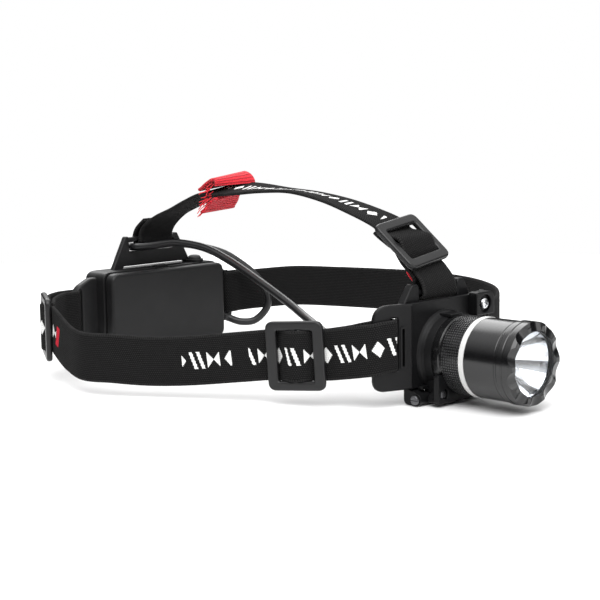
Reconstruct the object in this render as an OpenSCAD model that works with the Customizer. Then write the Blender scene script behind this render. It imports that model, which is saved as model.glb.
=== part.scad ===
// Headlamp: torch-style LED lamp on an elastic head band, with a battery box at the rear.
// Millimetres. +Z up, lamp points along -Y, wearer's left is +X.
// The origin is the centre of the head opening at mid-band height.

/* [Lamp] */
// Height of the lamp axis
lamp_z = -5.4; // [-6:0.1:-5]
// Radius of the lamp's head barrel
head_r = 18.9; // [18.7:0.05:19.2]
// Radius of the front bezel
bezel_r = 19.45; // [19.2:0.05:19.8]
// Radius of the lens opening
lens_open_r = 14.7; // [13.5:0.1:15]
// Number of scallops round the bezel
scallops = 10; // [8:1:12]

/* [Base] */
// Half height of the front plate
plate_hh = 20.2; // [20:0.1:20.5]
// Distance from the origin to the front plate's face
front_y = 100.2; // [100.2:0.1:100.2]

/* [Straps] */
// Width of the elastic webbing
web_w = 24.4; // [24:0.1:25]
// Thickness of the elastic webbing
web_t = 1.8; // [1.5:0.1:1.9]

/* [Battery box] */
// Outside width of the box
box_w = 84; // [84:0.5:86]
// Outside height of the box
box_h = 45; // [45:0.5:46]
// Depth of the rear shell and cover together
box_d = 26; // [26:0.5:27]

/* [Lead] */
// Diameter of the lead
lead_d = 4.3; // [4:0.1:4.5]

/* [Hidden] */
$fn = 64;
plate_l = -24.6;
plate_r = 31;
base_y = -97;
tilt_y = -102;
tilt_z = -25.2;
barrel_r = 18.2;
knurl_r = 18.6;
neck_r = 16.6;
bore_r = 14.6;
ring_y0 = 23.5;
box_x = -3;
box_y = 99.6;
box_z = -1;
cover_d = 7;
box_r = 5;
cell_r = 9.2;
cell_l = 65;
bar_z = 37.6;
bar_y = 116;
top_bar_z = 23.6;
top_bar_y = -94.6;

// ---------- curves ----------

function cr(a, b, c, d, t) = 0.5 * (2 * b + (c - a) * t
  + (2 * a - 5 * b + 4 * c - d) * t * t
  + (3 * b - a - 3 * c + d) * t * t * t);

function smooth(P, n) = concat(
  [for (i = [0 : len(P) - 2]) for (k = [0 : n - 1])
    cr(P[max(i - 1, 0)], P[i], P[i + 1], P[min(i + 2, len(P) - 1)], k / n)],
  [P[len(P) - 1]]);

function pos(q) = [q[0], q[1], q[2]];
function unit(v) = v / norm(v);
function dir(Q, i) = unit(pos(Q[min(i + 1, len(Q) - 1)]) - pos(Q[max(i - 1, 0)]));

// Frame of one station of a ribbon: width direction first, thickness direction second
function across(Q, i, ref) = let (t = dir(Q, i), w = unit(ref - t * (ref * t)),
  n = cross(t, w), a = Q[i][3]) w * cos(a) + n * sin(a);

function station(Q, i, ref, w, th) = let (c = pos(Q[i]), t = dir(Q, i),
  u = across(Q, i, ref), v = cross(t, u))
  [c + u * w / 2 + v * th / 2, c - u * w / 2 + v * th / 2,
   c - u * w / 2 - v * th / 2, c + u * w / 2 - v * th / 2];

function quads(n, m) = [for (i = [0 : n - 2]) for (k = [0 : m - 1]) for (s = [0, 1])
  let (a = i * m + k, b = i * m + (k + 1) % m, c = a + m, d = b + m)
  s == 0 ? [a, b, d] : [a, d, c]];

function caps(n, m) = concat(
  [for (k = [1 : m - 2]) [0, k + 1, k]],
  [for (k = [1 : m - 2]) [(n - 1) * m, (n - 1) * m + k, (n - 1) * m + k + 1]]);

module ribbon(P, ref, w, th, n = 5) {
  Q = smooth(P, n);
  pts = [for (i = [0 : len(Q) - 1]) for (v = station(Q, i, ref, w, th)) v];
  polyhedron(pts, concat(quads(len(Q), 4), caps(len(Q), 4)), convexity = 8);
}

function carry(Q, i, u) = i == 0 ? [u]
  : let (prev = carry(Q, i - 1, u), t = dir(Q, i), b = prev[len(prev) - 1])
    concat(prev, [unit(b - t * (b * t))]);

module tube(P, r, u0, n = 3, sides = 10) {
  Q = smooth(P, n);
  t0 = dir(Q, 0);
  U = carry(Q, len(Q) - 1, unit(u0 - t0 * (u0 * t0)));
  pts = [for (i = [0 : len(Q) - 1]) for (k = [0 : sides - 1])
    let (t = dir(Q, i), v = cross(t, U[i]), a = -360 * k / sides)
    pos(Q[i]) + U[i] * r * cos(a) + v * r * sin(a)];
  polyhedron(pts, concat(quads(len(Q), sides), caps(len(Q), sides)), convexity = 8);
}

// ---------- shared placements ----------

module lamp_axis() {
  translate([0, -front_y, lamp_z]) rotate([90, 0, 0]) children();
}

module pipe(r, ri, d0, d1) {
  lamp_axis() translate([0, 0, d0]) difference() {
    cylinder(r = r, h = d1 - d0);
    translate([0, 0, -1]) cylinder(r = ri, h = d1 - d0 + 2);
  }
}

module rod_x(x0, x1, y, z, r) {
  translate([x0, y, z]) rotate([0, 90, 0]) cylinder(r = r, h = x1 - x0, $fn = 40);
}

module rod_y(x, z, y0, y1, r) {
  translate([x, y1, z]) rotate([90, 0, 0]) cylinder(r = r, h = y1 - y0, $fn = 40);
}

module block(lo, hi) {
  translate(lo) cube(hi - lo);
}

module rounded_sheet(x0, x1, z0, z1, y0, y1, r) {
  translate([0, y1, 0]) rotate([90, 0, 0]) linear_extrude(y1 - y0)
    translate([x0 + r, z0 + r]) offset_box(x1 - x0 - 2 * r, z1 - z0 - 2 * r, r);
}

module offset_box(w, h, r) {
  union() {
    translate([-r, 0]) square([w + 2 * r, h]);
    translate([0, -r]) square([w, h + 2 * r]);
    for (x = [0, w]) for (y = [0, h]) translate([x, y]) circle(r = r, $fn = 32);
  }
}

// ---------- lamp base ----------

module base_plan() {
  polygon([[plate_l - 0.15, base_y], [plate_l - 0.15, -front_y], [-42.8, -93.4],
    [-41.8, -90.4], [-30, -94.8], [-24, -94], [31.5, -94], [35, -92.6], [42.6, -87.2],
    [44.3, -89.6], [plate_r + 0.15, -front_y], [plate_r + 0.15, base_y]]);
}

module base_outline() {
  rounded_sheet(-42.8, 44.3, -plate_hh, plate_hh, -110, -80, 6);
}

module top_bracket_ear(x0, x1, lean) {
  translate([0, -92.4, 0]) rotate([90, 0, 0]) linear_extrude(4.4)
    polygon([[x0 - lean, 17], [x1, 17], [x1, 26.4], [x1 - 1.2, 28], [x0 + 1, 28], [x0, 27]]);
}

module knuckle(x0, x1) {
  rod_x(x0, x1, tilt_y, tilt_z, 2.9);
  block([x0, tilt_y, -28.1], [x1, -94, -22.6]);
  block([x0, base_y, -28.1], [x1, -94, -15]);
}

module base_plate() {
  color("#26272a") difference() {
    union() {
      intersection() {
        translate([0, 0, -30]) linear_extrude(60) base_plan();
        base_outline();
      }
      top_bracket_ear(-20, -14, 7);
      mirror([1, 0, 0]) top_bracket_ear(-20, -14, 5);
      rod_x(-15, 15, top_bar_y, top_bar_z, 1.5);
      knuckle(-23, -15);
      knuckle(15, 23);
      block([-22.8, -94.5, -4], [-18, -85.6, 4]);
    }
    // Strap slots in the ears
    block([-34, -105, -13], [-30.4, -80, 13]);
    block([36.2, -105, -13], [39.2, -80, 13]);
    // Decorative groove in the left ear
    block([-28.6, -101, -9], [-27.4, -97.6, 9]);
    // Room for the strap under the top bar
    block([-13.9, -99, 18.2], [13.9, -90, 22]);
    // Chamber for the wires
    block([-17, -98, -8.5], [6, -92, -2.5]);
    rod_x(-24, -16, -88.8, -2, 1);
    // Running bores for the hinge screws
    rod_x(-24, -14, tilt_y, tilt_z, 1.3);
    rod_x(14, 24, tilt_y, tilt_z, 1.3);
    block([-19, -90, -3], [-16, -80, -1]);
  }
}

module forehead_pad() {
  color("#3a3b3e") difference() {
    rounded_sheet(-17.6, 30, -18, 17, -94, -88, 5);
    translate([6, 12, 0]) cylinder(r = 101.5, h = 60, center = true, $fn = 96);
  }
}

module hinge_screw(s) {
  mirror([s, 0, 0]) {
    rod_x(-24.6, -23.1, tilt_y, tilt_z, 2.3);
    rod_x(-23.2, -8.6, tilt_y, tilt_z, 1.25);
  }
}

module hinge_screw_left() { color("#9a9ca0") hinge_screw(1); }
module hinge_screw_right() { color("#9a9ca0") hinge_screw(0); }

module lug_outline() {
  union() {
    translate([17.5, 10.4]) square([13.5, 6.4]);
    translate([17.5, 10.4]) square([9.2, 10.6]);
    translate([26.7, 16.7]) circle(r = 4.3, $fn = 32);
  }
}

module tilt_plate() {
  color("#26272a") difference() {
    union() {
      rounded_sheet(plate_l, plate_r, -plate_hh, plate_hh, -front_y, base_y - 0.2, 1);
      // Ring that holds the rear barrel
      lamp_axis() translate([0, 0, -0.1]) cylinder(r = 20.4, h = 1.3);
      // Corner lug with its screw
      translate([0, -front_y + 0.1, 0]) rotate([90, 0, 0]) linear_extrude(4.4) lug_outline();
      // Hinge leaf below the barrel
      rounded_sheet(-20, 20, -26.7, -13, -113, -110, 1.2);
      block([-14.5, -110.5, -26.7], [14.5, tilt_y, -21]);
      rod_x(-14.5, -8.6, tilt_y, tilt_z, 2.9);
      rod_x(8.6, 14.5, tilt_y, tilt_z, 2.9);
      block([-14.5, -110.5, -21.5], [14.5, -front_y + 0.5, -14]);
    }
    // Seat of the rear barrel
    lamp_axis() cylinder(r = barrel_r, h = 20);
    lamp_axis() translate([0, 0, 9.7]) cylinder(r = barrel_r + 0.5, h = 10);
    // Wire hole
    rod_y(0, lamp_z, -102, -95, 2.2);
    // Hinge screw bores
    rod_x(-15, -8, tilt_y, tilt_z, 1.3);
    rod_x(8, 15, tilt_y, tilt_z, 1.3);
    block([-8.6, -106, -30], [8.6, -98, -20.3]);
    // Fixing recess in the leaf, screw hole in the lug, slot above the barrel
    rod_y(-15.2, -22.6, -114, -111.6, 2.6);
    rod_y(-15.2, -22.6, -114, -108, 1.2);
    rod_y(24, 16, -105, -101.5, 1.5);
    block([-1.5, -101, 15.6], [10.5, -99.2, 17.2]);
  }
}

module detent_spring() {
  color("#b9bbbf") block([8, base_y - 0.2, 8], [20, base_y, 12]);
}

module pan_screw(x, z, y, r, head, shank, len) {
  rod_y(x, z, y - head, y, r);
  rod_y(x, z, y - 0.1, y + len, shank);
}

module lug_screw() {
  color("#c9ccd0") difference() {
    pan_screw(24, 16, -front_y - 4.3, 3.4, 1.5, 1.5, 2.9);
    for (a = [0, 90]) translate([24, -106.1, 16]) rotate([0, a, 0]) cube([3.4, 1.2, 0.9], center = true);
  }
}

module leaf_screw() {
  color("#77797d") difference() {
    pan_screw(-15.2, -22.6, -111.7, 2.3, 0.9, 1.2, 1.7);
    for (a = [0, 90]) translate([-15.2, -112.7, -22.6]) rotate([0, a, 0]) cube([2.6, 0.8, 0.7], center = true);
  }
}

// ---------- lamp body ----------

module rear_barrel() {
  color("#1d1e20") lamp_axis() rotate_extrude($fn = 96) polygon([
    [2.2, 0], [barrel_r, 0], [barrel_r, 10.8], [barrel_r + 0.3, 11.2],
    [barrel_r + 0.3, 15.5], [neck_r, 15.5], [neck_r, 34], [bore_r, 34], [bore_r, 3],
    [2.2, 3]]);
}

module knurled_ring() {
  color("#222326") lamp_axis() rotate_extrude($fn = 96) polygon([
    [neck_r, 15.6], [knurl_r - 0.3, 15.6], [knurl_r, 16], [knurl_r, 17.8],
    [knurl_r - 0.3, 18], [knurl_r, 18.2], [knurl_r, 20.2], [knurl_r - 0.3, 20.4],
    [knurl_r, 20.6], [knurl_r, 23.1], [knurl_r - 0.3, 23.4], [neck_r, 23.4]]);
}

module glow_ring() {
  color("#f4f4f0") lamp_axis() rotate_extrude($fn = 96) polygon([
    [neck_r, ring_y0], [19.0, ring_y0], [19.1, ring_y0 + 0.3], [19.1, 26], [19.0, 26.3],
    [neck_r, 26.3]]);
}

module head_oring() {
  color("#111111") lamp_axis() translate([0, 0, 31]) rotate_extrude($fn = 96)
    translate([neck_r + 0.65, 0]) circle(r = 0.62, $fn = 16);
}

module head_barrel() {
  color("#1d1e20") lamp_axis() rotate_extrude($fn = 96) polygon([
    [neck_r + 0.05, 26.4], [head_r - 0.3, 26.4], [head_r, 26.8], [head_r, 43.6],
    [head_r + 0.2, 44], [head_r + 0.2, 45], [17, 45], [17, 32.4], [17.9, 32.3],
    [17.9, 29.7], [neck_r + 0.05, 29.6]]);
}

module bezel() {
  color("#1a1b1d") lamp_axis() difference() {
    rotate_extrude($fn = 96) polygon([
      [17, 45], [bezel_r - 0.3, 45], [bezel_r, 45.4], [bezel_r, 48], [bezel_r - 0.35, 48.4],
      [bezel_r - 0.35, 50], [bezel_r, 50.4], [bezel_r - 0.2, 51.6], [17.7, 53.9],
      [16.2, 53.9], [lens_open_r, 52.2], [lens_open_r, 51.9], [16.5, 51.9],
      [16.5, 48.6], [17, 48.6]]);
    for (k = [0 : scallops - 1]) rotate([0, 0, 360 / scallops * (k + 0.5)])
      translate([21.2, 0, 55.2]) rotate([0, 30, 0]) cylinder(r = 4.2, h = 8, center = true, $fn = 24);
  }
}

module lens() {
  color([0.85, 0.9, 0.95, 0.35]) lamp_axis() translate([0, 0, 48.75]) cylinder(r = 16.4, h = 1.7, $fn = 96);
}

module lens_seal() {
  color("#151515") lamp_axis() rotate_extrude($fn = 96) polygon([
    [14.9, 50.5], [16.4, 50.5], [16.4, 51.85], [14.9, 51.85]]);
}

function bowl(r, d) = [for (k = [0 : 10]) let (s = k / 10, x = r + (16.1 - r) * s)
  [x, d + (48.6 - d) * (x * x - r * r) / (16.1 * 16.1 - r * r)]];

module reflector() {
  inner = bowl(4.0, 35.2);
  outer = [for (k = [10 : -1 : 0]) [inner[k][0] + 0.8, inner[k][1] - 0.7]];
  color("#d5d7da") lamp_axis() rotate_extrude($fn = 96) polygon(concat(inner, [[16.9, 48.6], [16.9, 47.9]],
    [for (k = [1 : 10]) outer[k]]));
}

module heat_sink() {
  color("#b9bbbf") lamp_axis() translate([0, 0, 26]) cylinder(r = bore_r, h = 4.6);
}

module led_board() {
  color("#e8e8e6") lamp_axis() translate([0, 0, 30.6]) cylinder(r = 8, h = 1.4);
}

module led_emitter() {
  color("#e8d58a") lamp_axis() translate([0, 0, 32]) {
    translate([-2.5, -2.5, 0]) cube([5, 5, 0.9]);
    rotate_extrude() intersection() {
      translate([0, 0.9]) circle(r = 1.8, $fn = 40);
      translate([0, 0.8]) square([2, 3]);
    }
  }
}

module driver_board() {
  color("#2d6b3c") lamp_axis() translate([0, 0, 22]) cylinder(r = bore_r, h = 1.6);
}

module lamp_wires() {
  color("#a03028") for (x = [-1, 1]) rod_y(x, lamp_z, -front_y - 22, -98, 0.75);
}

module lamp_gland() {
  color("#161618") translate([-22.8, -88.8, -2]) rotate([0, -90, 0])
    cylinder(r1 = 3.2, r2 = 2.6, h = 7.2);
}

// ---------- battery box ----------

module box_slab(x0, x1, z0, z1, y0, y1, r) {
  rounded_sheet(box_x + x0, box_x + x1, box_z + z0, box_z + z1, box_y + y0, box_y + y1, r);
}

module strap_ear(s) {
  // Frame at one end of the box with a slot for the webbing
  mirror_at(s) difference() {
    rounded_sheet(-59.5, -41.9, -15.6, 15.2, 113.2, 118.2, 3);
    block([-55.6, 110, -13], [-50, 122, 13]);
  }
}

module mirror_at(s) {
  translate([box_x, 0, 0]) mirror([s, 0, 0]) translate([0, 0, 0]) children();
}

module box_bracket() {
  translate([0, 117.6, 0]) rotate([90, 0, 0]) linear_extrude(3.2) polygon([
    [-33, 20], [-22.6, 39.4], [-20.4, 39.4], [-20.4, 31], [13, 31], [13, 39.4],
    [15.2, 39.4], [26, 20], [21.4, 20], [20, 23.8], [-24, 23.8], [-25.6, 20]]);
  rod_x(-21.4, 14, bar_y, bar_z, 1.5);
}

module cell_bay() {
  for (z = [-10, 10]) rod_x(box_x - 33.4, box_x + 33.4, box_y + 15.2, box_z + z, cell_r + 0.3);
  box_slab(-33.4, 33.4, -18.6, 18.6, cover_d - 1, 15.2, 0.5);
}

module box_shell() {
  h = box_h / 2;
  w = box_w / 2;
  color("#232427") difference() {
    union() {
      box_slab(-w, w, -h, h, cover_d + 0.2, box_d - 3, box_r);
      box_slab(-w + 3, w - 3, -h + 3, h - 3, box_d - 3.1, box_d, box_r);
      strap_ear(0);
      strap_ear(1);
      box_bracket();
      // Hinge eyes under the front edge
      for (x = [-30, 24]) {
        rod_x(box_x + x, box_x + x + 6, box_y + 5.2, box_z - h - 2.2, 2.3);
        block([box_x + x, box_y + 7.4, box_z - h - 4.5], [box_x + x + 6, box_y + 12, box_z - h + 1]);
        block([box_x + x, box_y + 5.2, box_z - h - 4.5], [box_x + x + 6, box_y + 7.6, box_z - h - 0.6]);
      }
      // Switch boss on the top face
      translate([26, 112, 20]) cylinder(r = 5.2, h = 3.2);
    }
    cell_bay();
    // Bay for the board above the contact plate
    box_slab(33.2, 38.8, -15, 15, cover_d - 1, 20, 0.2);
    box_slab(-38.8, -33.2, -15, 15, cover_d - 1, 20, 0.2);
    // Wire way to the switch and the lead outlet
    rod_x(33, 46, 110, -13.6, 2.15);
    translate([26, 112, 17.4]) cylinder(r = 4.2, h = 8);
    // Bores for the cover pins
    for (x = [-31, 23]) rod_x(box_x + x, box_x + x + 8, box_y + 5.2, box_z - h - 2.2, 1.0);
    // Latch pocket
    box_slab(-4.8, 4.8, h - 3.4, h + 1, cover_d - 1, cover_d + 6.4, 0.1);
  }
}

module box_cover() {
  h = box_h / 2;
  w = box_w / 2;
  color("#2c2d30") difference() {
    union() {
      box_slab(-w + 0.6, w - 0.6, -h + 0.6, h - 0.6, 2.4, cover_d, box_r);
      box_slab(-w + 2.4, w - 2.4, -h + 2.4, h - 2.4, 0, 2.5, box_r);
      for (x = [-23.8, 17.6]) {
        rod_x(box_x + x, box_x + x + 6, box_y + 5.2, box_z - h - 2.2, 2.3);
        block([box_x + x, box_y + 3.4, box_z - h - 2.2], [box_x + x + 6, box_y + 7, box_z - h + 2]);
      }
    }
    box_slab(-34, 34, -19, 19, 1.8, cover_d + 1, 3);
    for (x = [-24.5, 16.9]) rod_x(box_x + x, box_x + x + 7.4, box_y + 5.2, box_z - h - 2.2, 1.0);
    // Notch that the latch hooks into
    box_slab(-5, 5, h - 4, h + 1, cover_d - 2.6, cover_d + 1, 0.3);
  }
}

module cover_pin(x) {
  rod_x(box_x + x, box_x + x + 12.2, box_y + 5.2, box_z - box_h / 2 - 2.2, 0.95);
}

module cover_pin_left() { color("#b0b2b6") cover_pin(-30); }
module cover_pin_right() { color("#b0b2b6") cover_pin(17.8); }

module cover_latch() {
  h = box_h / 2;
  color("#34353a") union() {
    box_slab(-4.6, 4.6, h - 3.2, h - 0.6, cover_d - 2, cover_d + 3.4, 0.3);
    box_slab(-4.6, 4.6, h - 0.8, h + 0.9, cover_d + 0.6, cover_d + 3.4, 0.3);
  }
}

module latch_spring() {
  // Coil behind the latch
  color("#c0c2c6") tube([for (k = [0 : 32]) [box_x + cos(k * 45),
    box_y + cover_d + 3.62 + k * 0.0806, box_z + box_h / 2 - 1.9 + sin(k * 45), 0]],
    0.2, [1, 0, 0], 1, 6);
}

module cell(z) {
  translate([0, 0, 0]) {
    rod_x(box_x - 32, box_x + 31, box_y + 15.2, box_z + z, cell_r);
    rod_x(box_x + 30.9, box_x + 32.8, box_y + 15.2, box_z + z, 3.2);
  }
}

module cell_upper() { color("#3f6fb0") cell(10); }
module cell_lower() { color("#3f6fb0") cell(-10); }

module coil(z) {
  tube([for (k = [0 : 40]) [box_x - 33.9 + k * 0.043, box_y + 15.2 + 3.4 * cos(k * 45),
    box_z + z + 3.4 * sin(k * 45), 0]], 0.13, [0, 1, 0], 1, 6);
}

module contact_spring_upper() { color("#c8b060") coil(10); }
module contact_spring_lower() { color("#c8b060") coil(-10); }

module contact_plate_left() {
  color("#c9a85a") block([box_x - 34.6, box_y + 9, box_z - 14],
    [box_x - 34.1, box_y + 20, box_z + 14]);
}

module contact_plate_right() {
  color("#c9a85a") block([box_x + 34, box_y + 9, box_z - 14],
    [box_x + 34.5, box_y + 20, box_z + 14]);
}

module charge_board() {
  color("#2d6b3c") block([box_x + 34.8, box_y + 8, box_z - 14],
    [box_x + 36.2, box_y + 20, box_z + 14]);
}

module switch_button() {
  color("#17181a") translate([26, 112, 21.2]) rotate_extrude() polygon([
    [0, 0], [4.1, 0], [4.1, 2], [3.8, 3.2], [2.6, 4], [0, 4.3]]);
}

module switch_body() {
  color("#8a8c90") translate([26, 112, 18.5]) cylinder(r = 4.2, h = 1.35);
}

module box_gland() {
  color("#161618") translate([39.1, 110, -13.6]) rotate([0, 90, 0]) difference() {
    cylinder(r1 = 3.2, r2 = 2.7, h = 6.4);
    translate([0, 0, -1]) cylinder(r = 0.9, h = 6);
  }
}

// ---------- webbing ----------

// A buckle's place on the webbing: centre, run direction, width direction
near_c = [-60, -60, -4];
near_d = unit([-23, 53, -3]);
rear_c = [-96.2, 88.4, -0.4];
rear_d = unit([0.5, 0.86, 0.03]);
top_c = [-3.5, -83, 46.4];
top_d = unit([-5, 22, 21]);
up = [0, 0, 1];
left = [1, 0, 0];

function outward(d, w) = unit(cross(w, d));
function spot(c, d, w, s, k, a = 0) = let (q = c + d * s + outward(d, w) * k) [q[0], q[1], q[2], a];

// The webbing passes under both side bars of a buckle and over its centre bar
function weave(c, d, w) = [for (q = [[-15.5, -2.7], [-9.6, -2.35], [-5.2, 0.4], [0, 2.6],
  [5.2, 0.4], [9.6, -2.35], [15.5, -2.7]]) spot(c, d, w, q[0], q[1])];

near_run = concat([[-32.4, -94.6, 1.6, 0], [-32.3, -96.8, 1.5, 0], [-33.9, -98.3, 1.4, 0],
  [-39.4, -96.2, 1, 0], [-43.9, -93.9, 0.2, 0], [-47.4, -86.8, -1, 0]],
  weave(near_c, near_d, up), [[-71.2, -31, -6.5, 0], [-82.6, -10, -9, 0],
  [-93, 8, -10, 0], [-104, 24, -9, 0], [-109, 40, -9, 0], [-106.4, 56, -6.6, 0]],
  weave(rear_c, rear_d, up), [[-79.4, 110.2, 0.6, 0], [-69.6, 116.8, 0.6, 0],
  [-63, 119.3, 0.4, 0], [-58.6, 119.2, 0.4, 0], [-57, 117.2, 0.4, 0], [-57, 114.6, 0.4, 0]]);

near_tail = [[-32.1, -93.2, 1.6, 0], [-33.4, -91.8, 1.4, 0], [-36.6, -90.9, 1.2, 0],
  [-41.8, -88, 0.4, 0], [-45, -83.4, -1, 0], spot(near_c, near_d, up, -15.5, -5.1),
  spot(near_c, near_d, up, -8, -4.5), spot(near_c, near_d, up, -1, -2.9)];

rear_left = [[-57.2, 113.9, 0.4, 0], [-58.8, 112.1, 0.4, 0], [-63, 111.9, 0.4, 0],
  [-69, 110.8, 0.6, 0], [-77, 105.2, 0.6, 0], spot(rear_c, rear_d, up, 15.5, -5.1),
  spot(rear_c, rear_d, up, 8, -4.5), spot(rear_c, rear_d, up, 1, -2.9)];

far_run = [[71, 113.8, 0.8, 0], [63, 117.8, 0.6, 0], [56, 119.4, 0.4, 0], [51.8, 118.6, 0.4, 0],
  [51.1, 115.7, 0.4, 0], [51.8, 112.8, 0.4, 0], [56, 111.9, 0.4, 0], [64, 112, 0.6, 0],
  [77, 107.4, 1, 0], [93, 94, 2, 0], [104.4, 70, 2, 0], [108, 35, 3, 0], [107, 0, 4, 0],
  [100, -35, 4, 0], [88, -61, 3, 0], [70, -78.6, 2, 0], [56, -85.6, 1, 0], [47.6, -89.2, 0, 0],
  [42.6, -92.8, 0, 0], [39.4, -95, 0, 0], [37.8, -95.2, 0, 0], [37.2, -93.4, 0, 0],
  [37.5, -90.8, 0, 0], [39.6, -87.6, 0, 0], [44, -84.8, 0, 0], [50.6, -82.6, 0, 0]];

top_front = concat([[0, -91.7, 23.8, 0], [0, -92.6, 21.7, 0], [0, -94.6, 20.8, 0],
  [0, -96.9, 21.7, 0], [0, -97.5, 24.2, 0], [-0.4, -96.2, 28.8, 0]],
  weave(top_c, top_d, left), [[-8, -58, 59.8, 1], [-8.4, -38, 65, 4], [-6.4, -14, 68, 5],
  [-4, 10, 68.2, 0], [-2, 34, 68, -10], [-1, 52, 67.6, -14]]);

top_tail = [[0, -91.6, 24.6, 0], [-0.2, -91.2, 28.4, 0], spot(top_c, top_d, left, -15.5, -5.2),
  spot(top_c, top_d, left, -8, -4.5), spot(top_c, top_d, left, -1, -2.9)];

top_rear = [[-1, 52.6, 67.6, -14], [-1, 62, 66.2, -8], [-2, 74, 61, -3], [-2, 86, 56.4, -4],
  [-2, 99, 51.6, -3], [-2, 109, 45.6, 0], [-2, 112.9, 40.4, 0], [-2, 113.4, 36.4, 0],
  [-2, 115.6, 34.6, 0], [-2, 118, 35.4, 0], [-2, 118.9, 38.4, 0], [-2, 116.2, 43.6, 0],
  [-2, 109, 49, 0]];

module band_near() { color("#1b1b1d") ribbon(near_run, up, web_w, web_t, 3); }
module band_near_tail() { color("#1b1b1d") ribbon(near_tail, up, web_w, web_t, 3); }
module band_rear_left() { color("#1b1b1d") ribbon(rear_left, up, web_w, web_t, 3); }
module band_far() { color("#1b1b1d") ribbon(far_run, up, web_w, web_t, 3); }
module top_strap_front() { color("#1b1b1d") ribbon(top_front, left, web_w, web_t, 3); }
module top_strap_tail() { color("#1b1b1d") ribbon(top_tail, left, web_w, web_t, 3); }
module top_strap_rear() { color("#1b1b1d") ribbon(top_rear, left, web_w, web_t, 3); }

tag_run = [[-1, 46, 70, -13], [-1, 54, 69.8, -13], [-1.2, 64, 67.8, -8], [-1.8, 75, 62.6, -3]];

module strap_tag() { color("#c8202c") ribbon(tag_run, left, 25.6, 1.2, 3); }

tack_run = [[-0.6, -89.4, 30.6, 0], [-1, -87.6, 33, 0]];

module front_tack() { color("#c8202c") ribbon(tack_run, left, 22, 0.8, 2); }

// ---------- buckles ----------

module tri_glide(w, l, t, slot, bar) {
  // Flat in the XZ plane, with the webbing running along X
  rotate([90, 0, 0]) translate([0, 0, -t / 2]) linear_extrude(t) difference() {
    translate([-l / 2 + 4, -w / 2 + 4]) offset_box(l - 8, w - 8, 4);
    for (s = [-1, 1]) translate([s * (bar / 2 + slot / 2) - slot / 2, -web_w / 2 - 0.6])
      square([slot, web_w + 1.2]);
  }
}

module on_webbing(c, d, w) {
  n = outward(d, w);
  v = unit(cross(d, n));
  multmatrix([[d[0], n[0], v[0], c[0]], [d[1], n[1], v[1], c[1]], [d[2], n[2], v[2], c[2]]])
    children();
}

module buckle() {
  tri_glide(33, 29, 2.2, 8.6, 2.4);
}

module buckle_near() { color("#2b2c2f") on_webbing(near_c, near_d, up) buckle(); }
module buckle_rear() { color("#2b2c2f") on_webbing(rear_c, rear_d, up) buckle(); }
module buckle_top() { color("#2b2c2f") on_webbing(top_c, top_d, left) buckle(); }

// ---------- lead ----------

lead_run = [[45.55, 110, -13.6, 0], [46.4, 110, -13.6, 0], [47.2, 110, -13.6, 0],
  [49.8, 108.6, -14.8, 0], [54.4, 103, -17, 0],
  [61, 97.4, -16, 0], [67, 93.4, -8.4, 0], [67.6, 94.4, 1, 0], [61.6, 99, 12, 0],
  [48, 109, 24.4, 0], [33, 119.2, 30, 0], [20, 123.4, 31.6, 0], [-4, 124, 32.4, 0],
  [-15, 121.8, 33.2, 0], [-17.5, 116.6, 33.4, 0], [-17, 110, 33.6, 0], [-14.4, 103, 34.4, 0],
  [-11, 95, 35.8, 0], [-8.6, 84, 36.8, 0], [-5, 65.5, 34.6, 0], [-3, 46, 27.8, 0],
  [-5, 21, 18.8, 0], [-8, -3, 10, 0], [-14, -22, 4.6, 0], [-24, -44, 0.8, 0],
  [-34.6, -64, -1.4, 0], [-39.2, -76.5, -2, 0], [-37.6, -84.4, -2, 0], [-34.6, -87.8, -2, 0],
  [-31.8, -88.8, -2, 0], [-30.9, -88.8, -2, 0], [-30.05, -88.8, -2, 0]];

module lead() { color("#131315") tube(lead_run, lead_d / 2, [0, 0, 1], 3, 10); }

base_plate();
forehead_pad();
hinge_screw_left();
hinge_screw_right();
tilt_plate();
detent_spring();
lug_screw();
leaf_screw();
rear_barrel();
knurled_ring();
glow_ring();
head_oring();
head_barrel();
bezel();
lens();
lens_seal();
reflector();
led_board();
led_emitter();
heat_sink();
driver_board();
lamp_wires();
lamp_gland();
box_shell();
box_cover();
cover_pin_left();
cover_pin_right();
cover_latch();
latch_spring();
cell_upper();
cell_lower();
contact_spring_upper();
contact_spring_lower();
contact_plate_left();
contact_plate_right();
charge_board();
switch_button();
switch_body();
box_gland();
band_near();
band_near_tail();
band_rear_left();
band_far();
top_strap_front();
top_strap_tail();
top_strap_rear();
strap_tag();
front_tack();
buckle_near();
buckle_rear();
buckle_top();
lead();
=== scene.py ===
"""Headlamp on an elastic head band: visible pieces, materials, light and camera.

Lengths in this script are millimetres in the part's frame and become metres when a piece is made.
+Z is up, the lamp shines along -Y and the wearer's left is +X. The lamp's own profiles are given
as (radius, distance in front of the front plate).
"""

import math
import random

import bmesh
import bpy
from mathutils import Matrix, Vector


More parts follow.
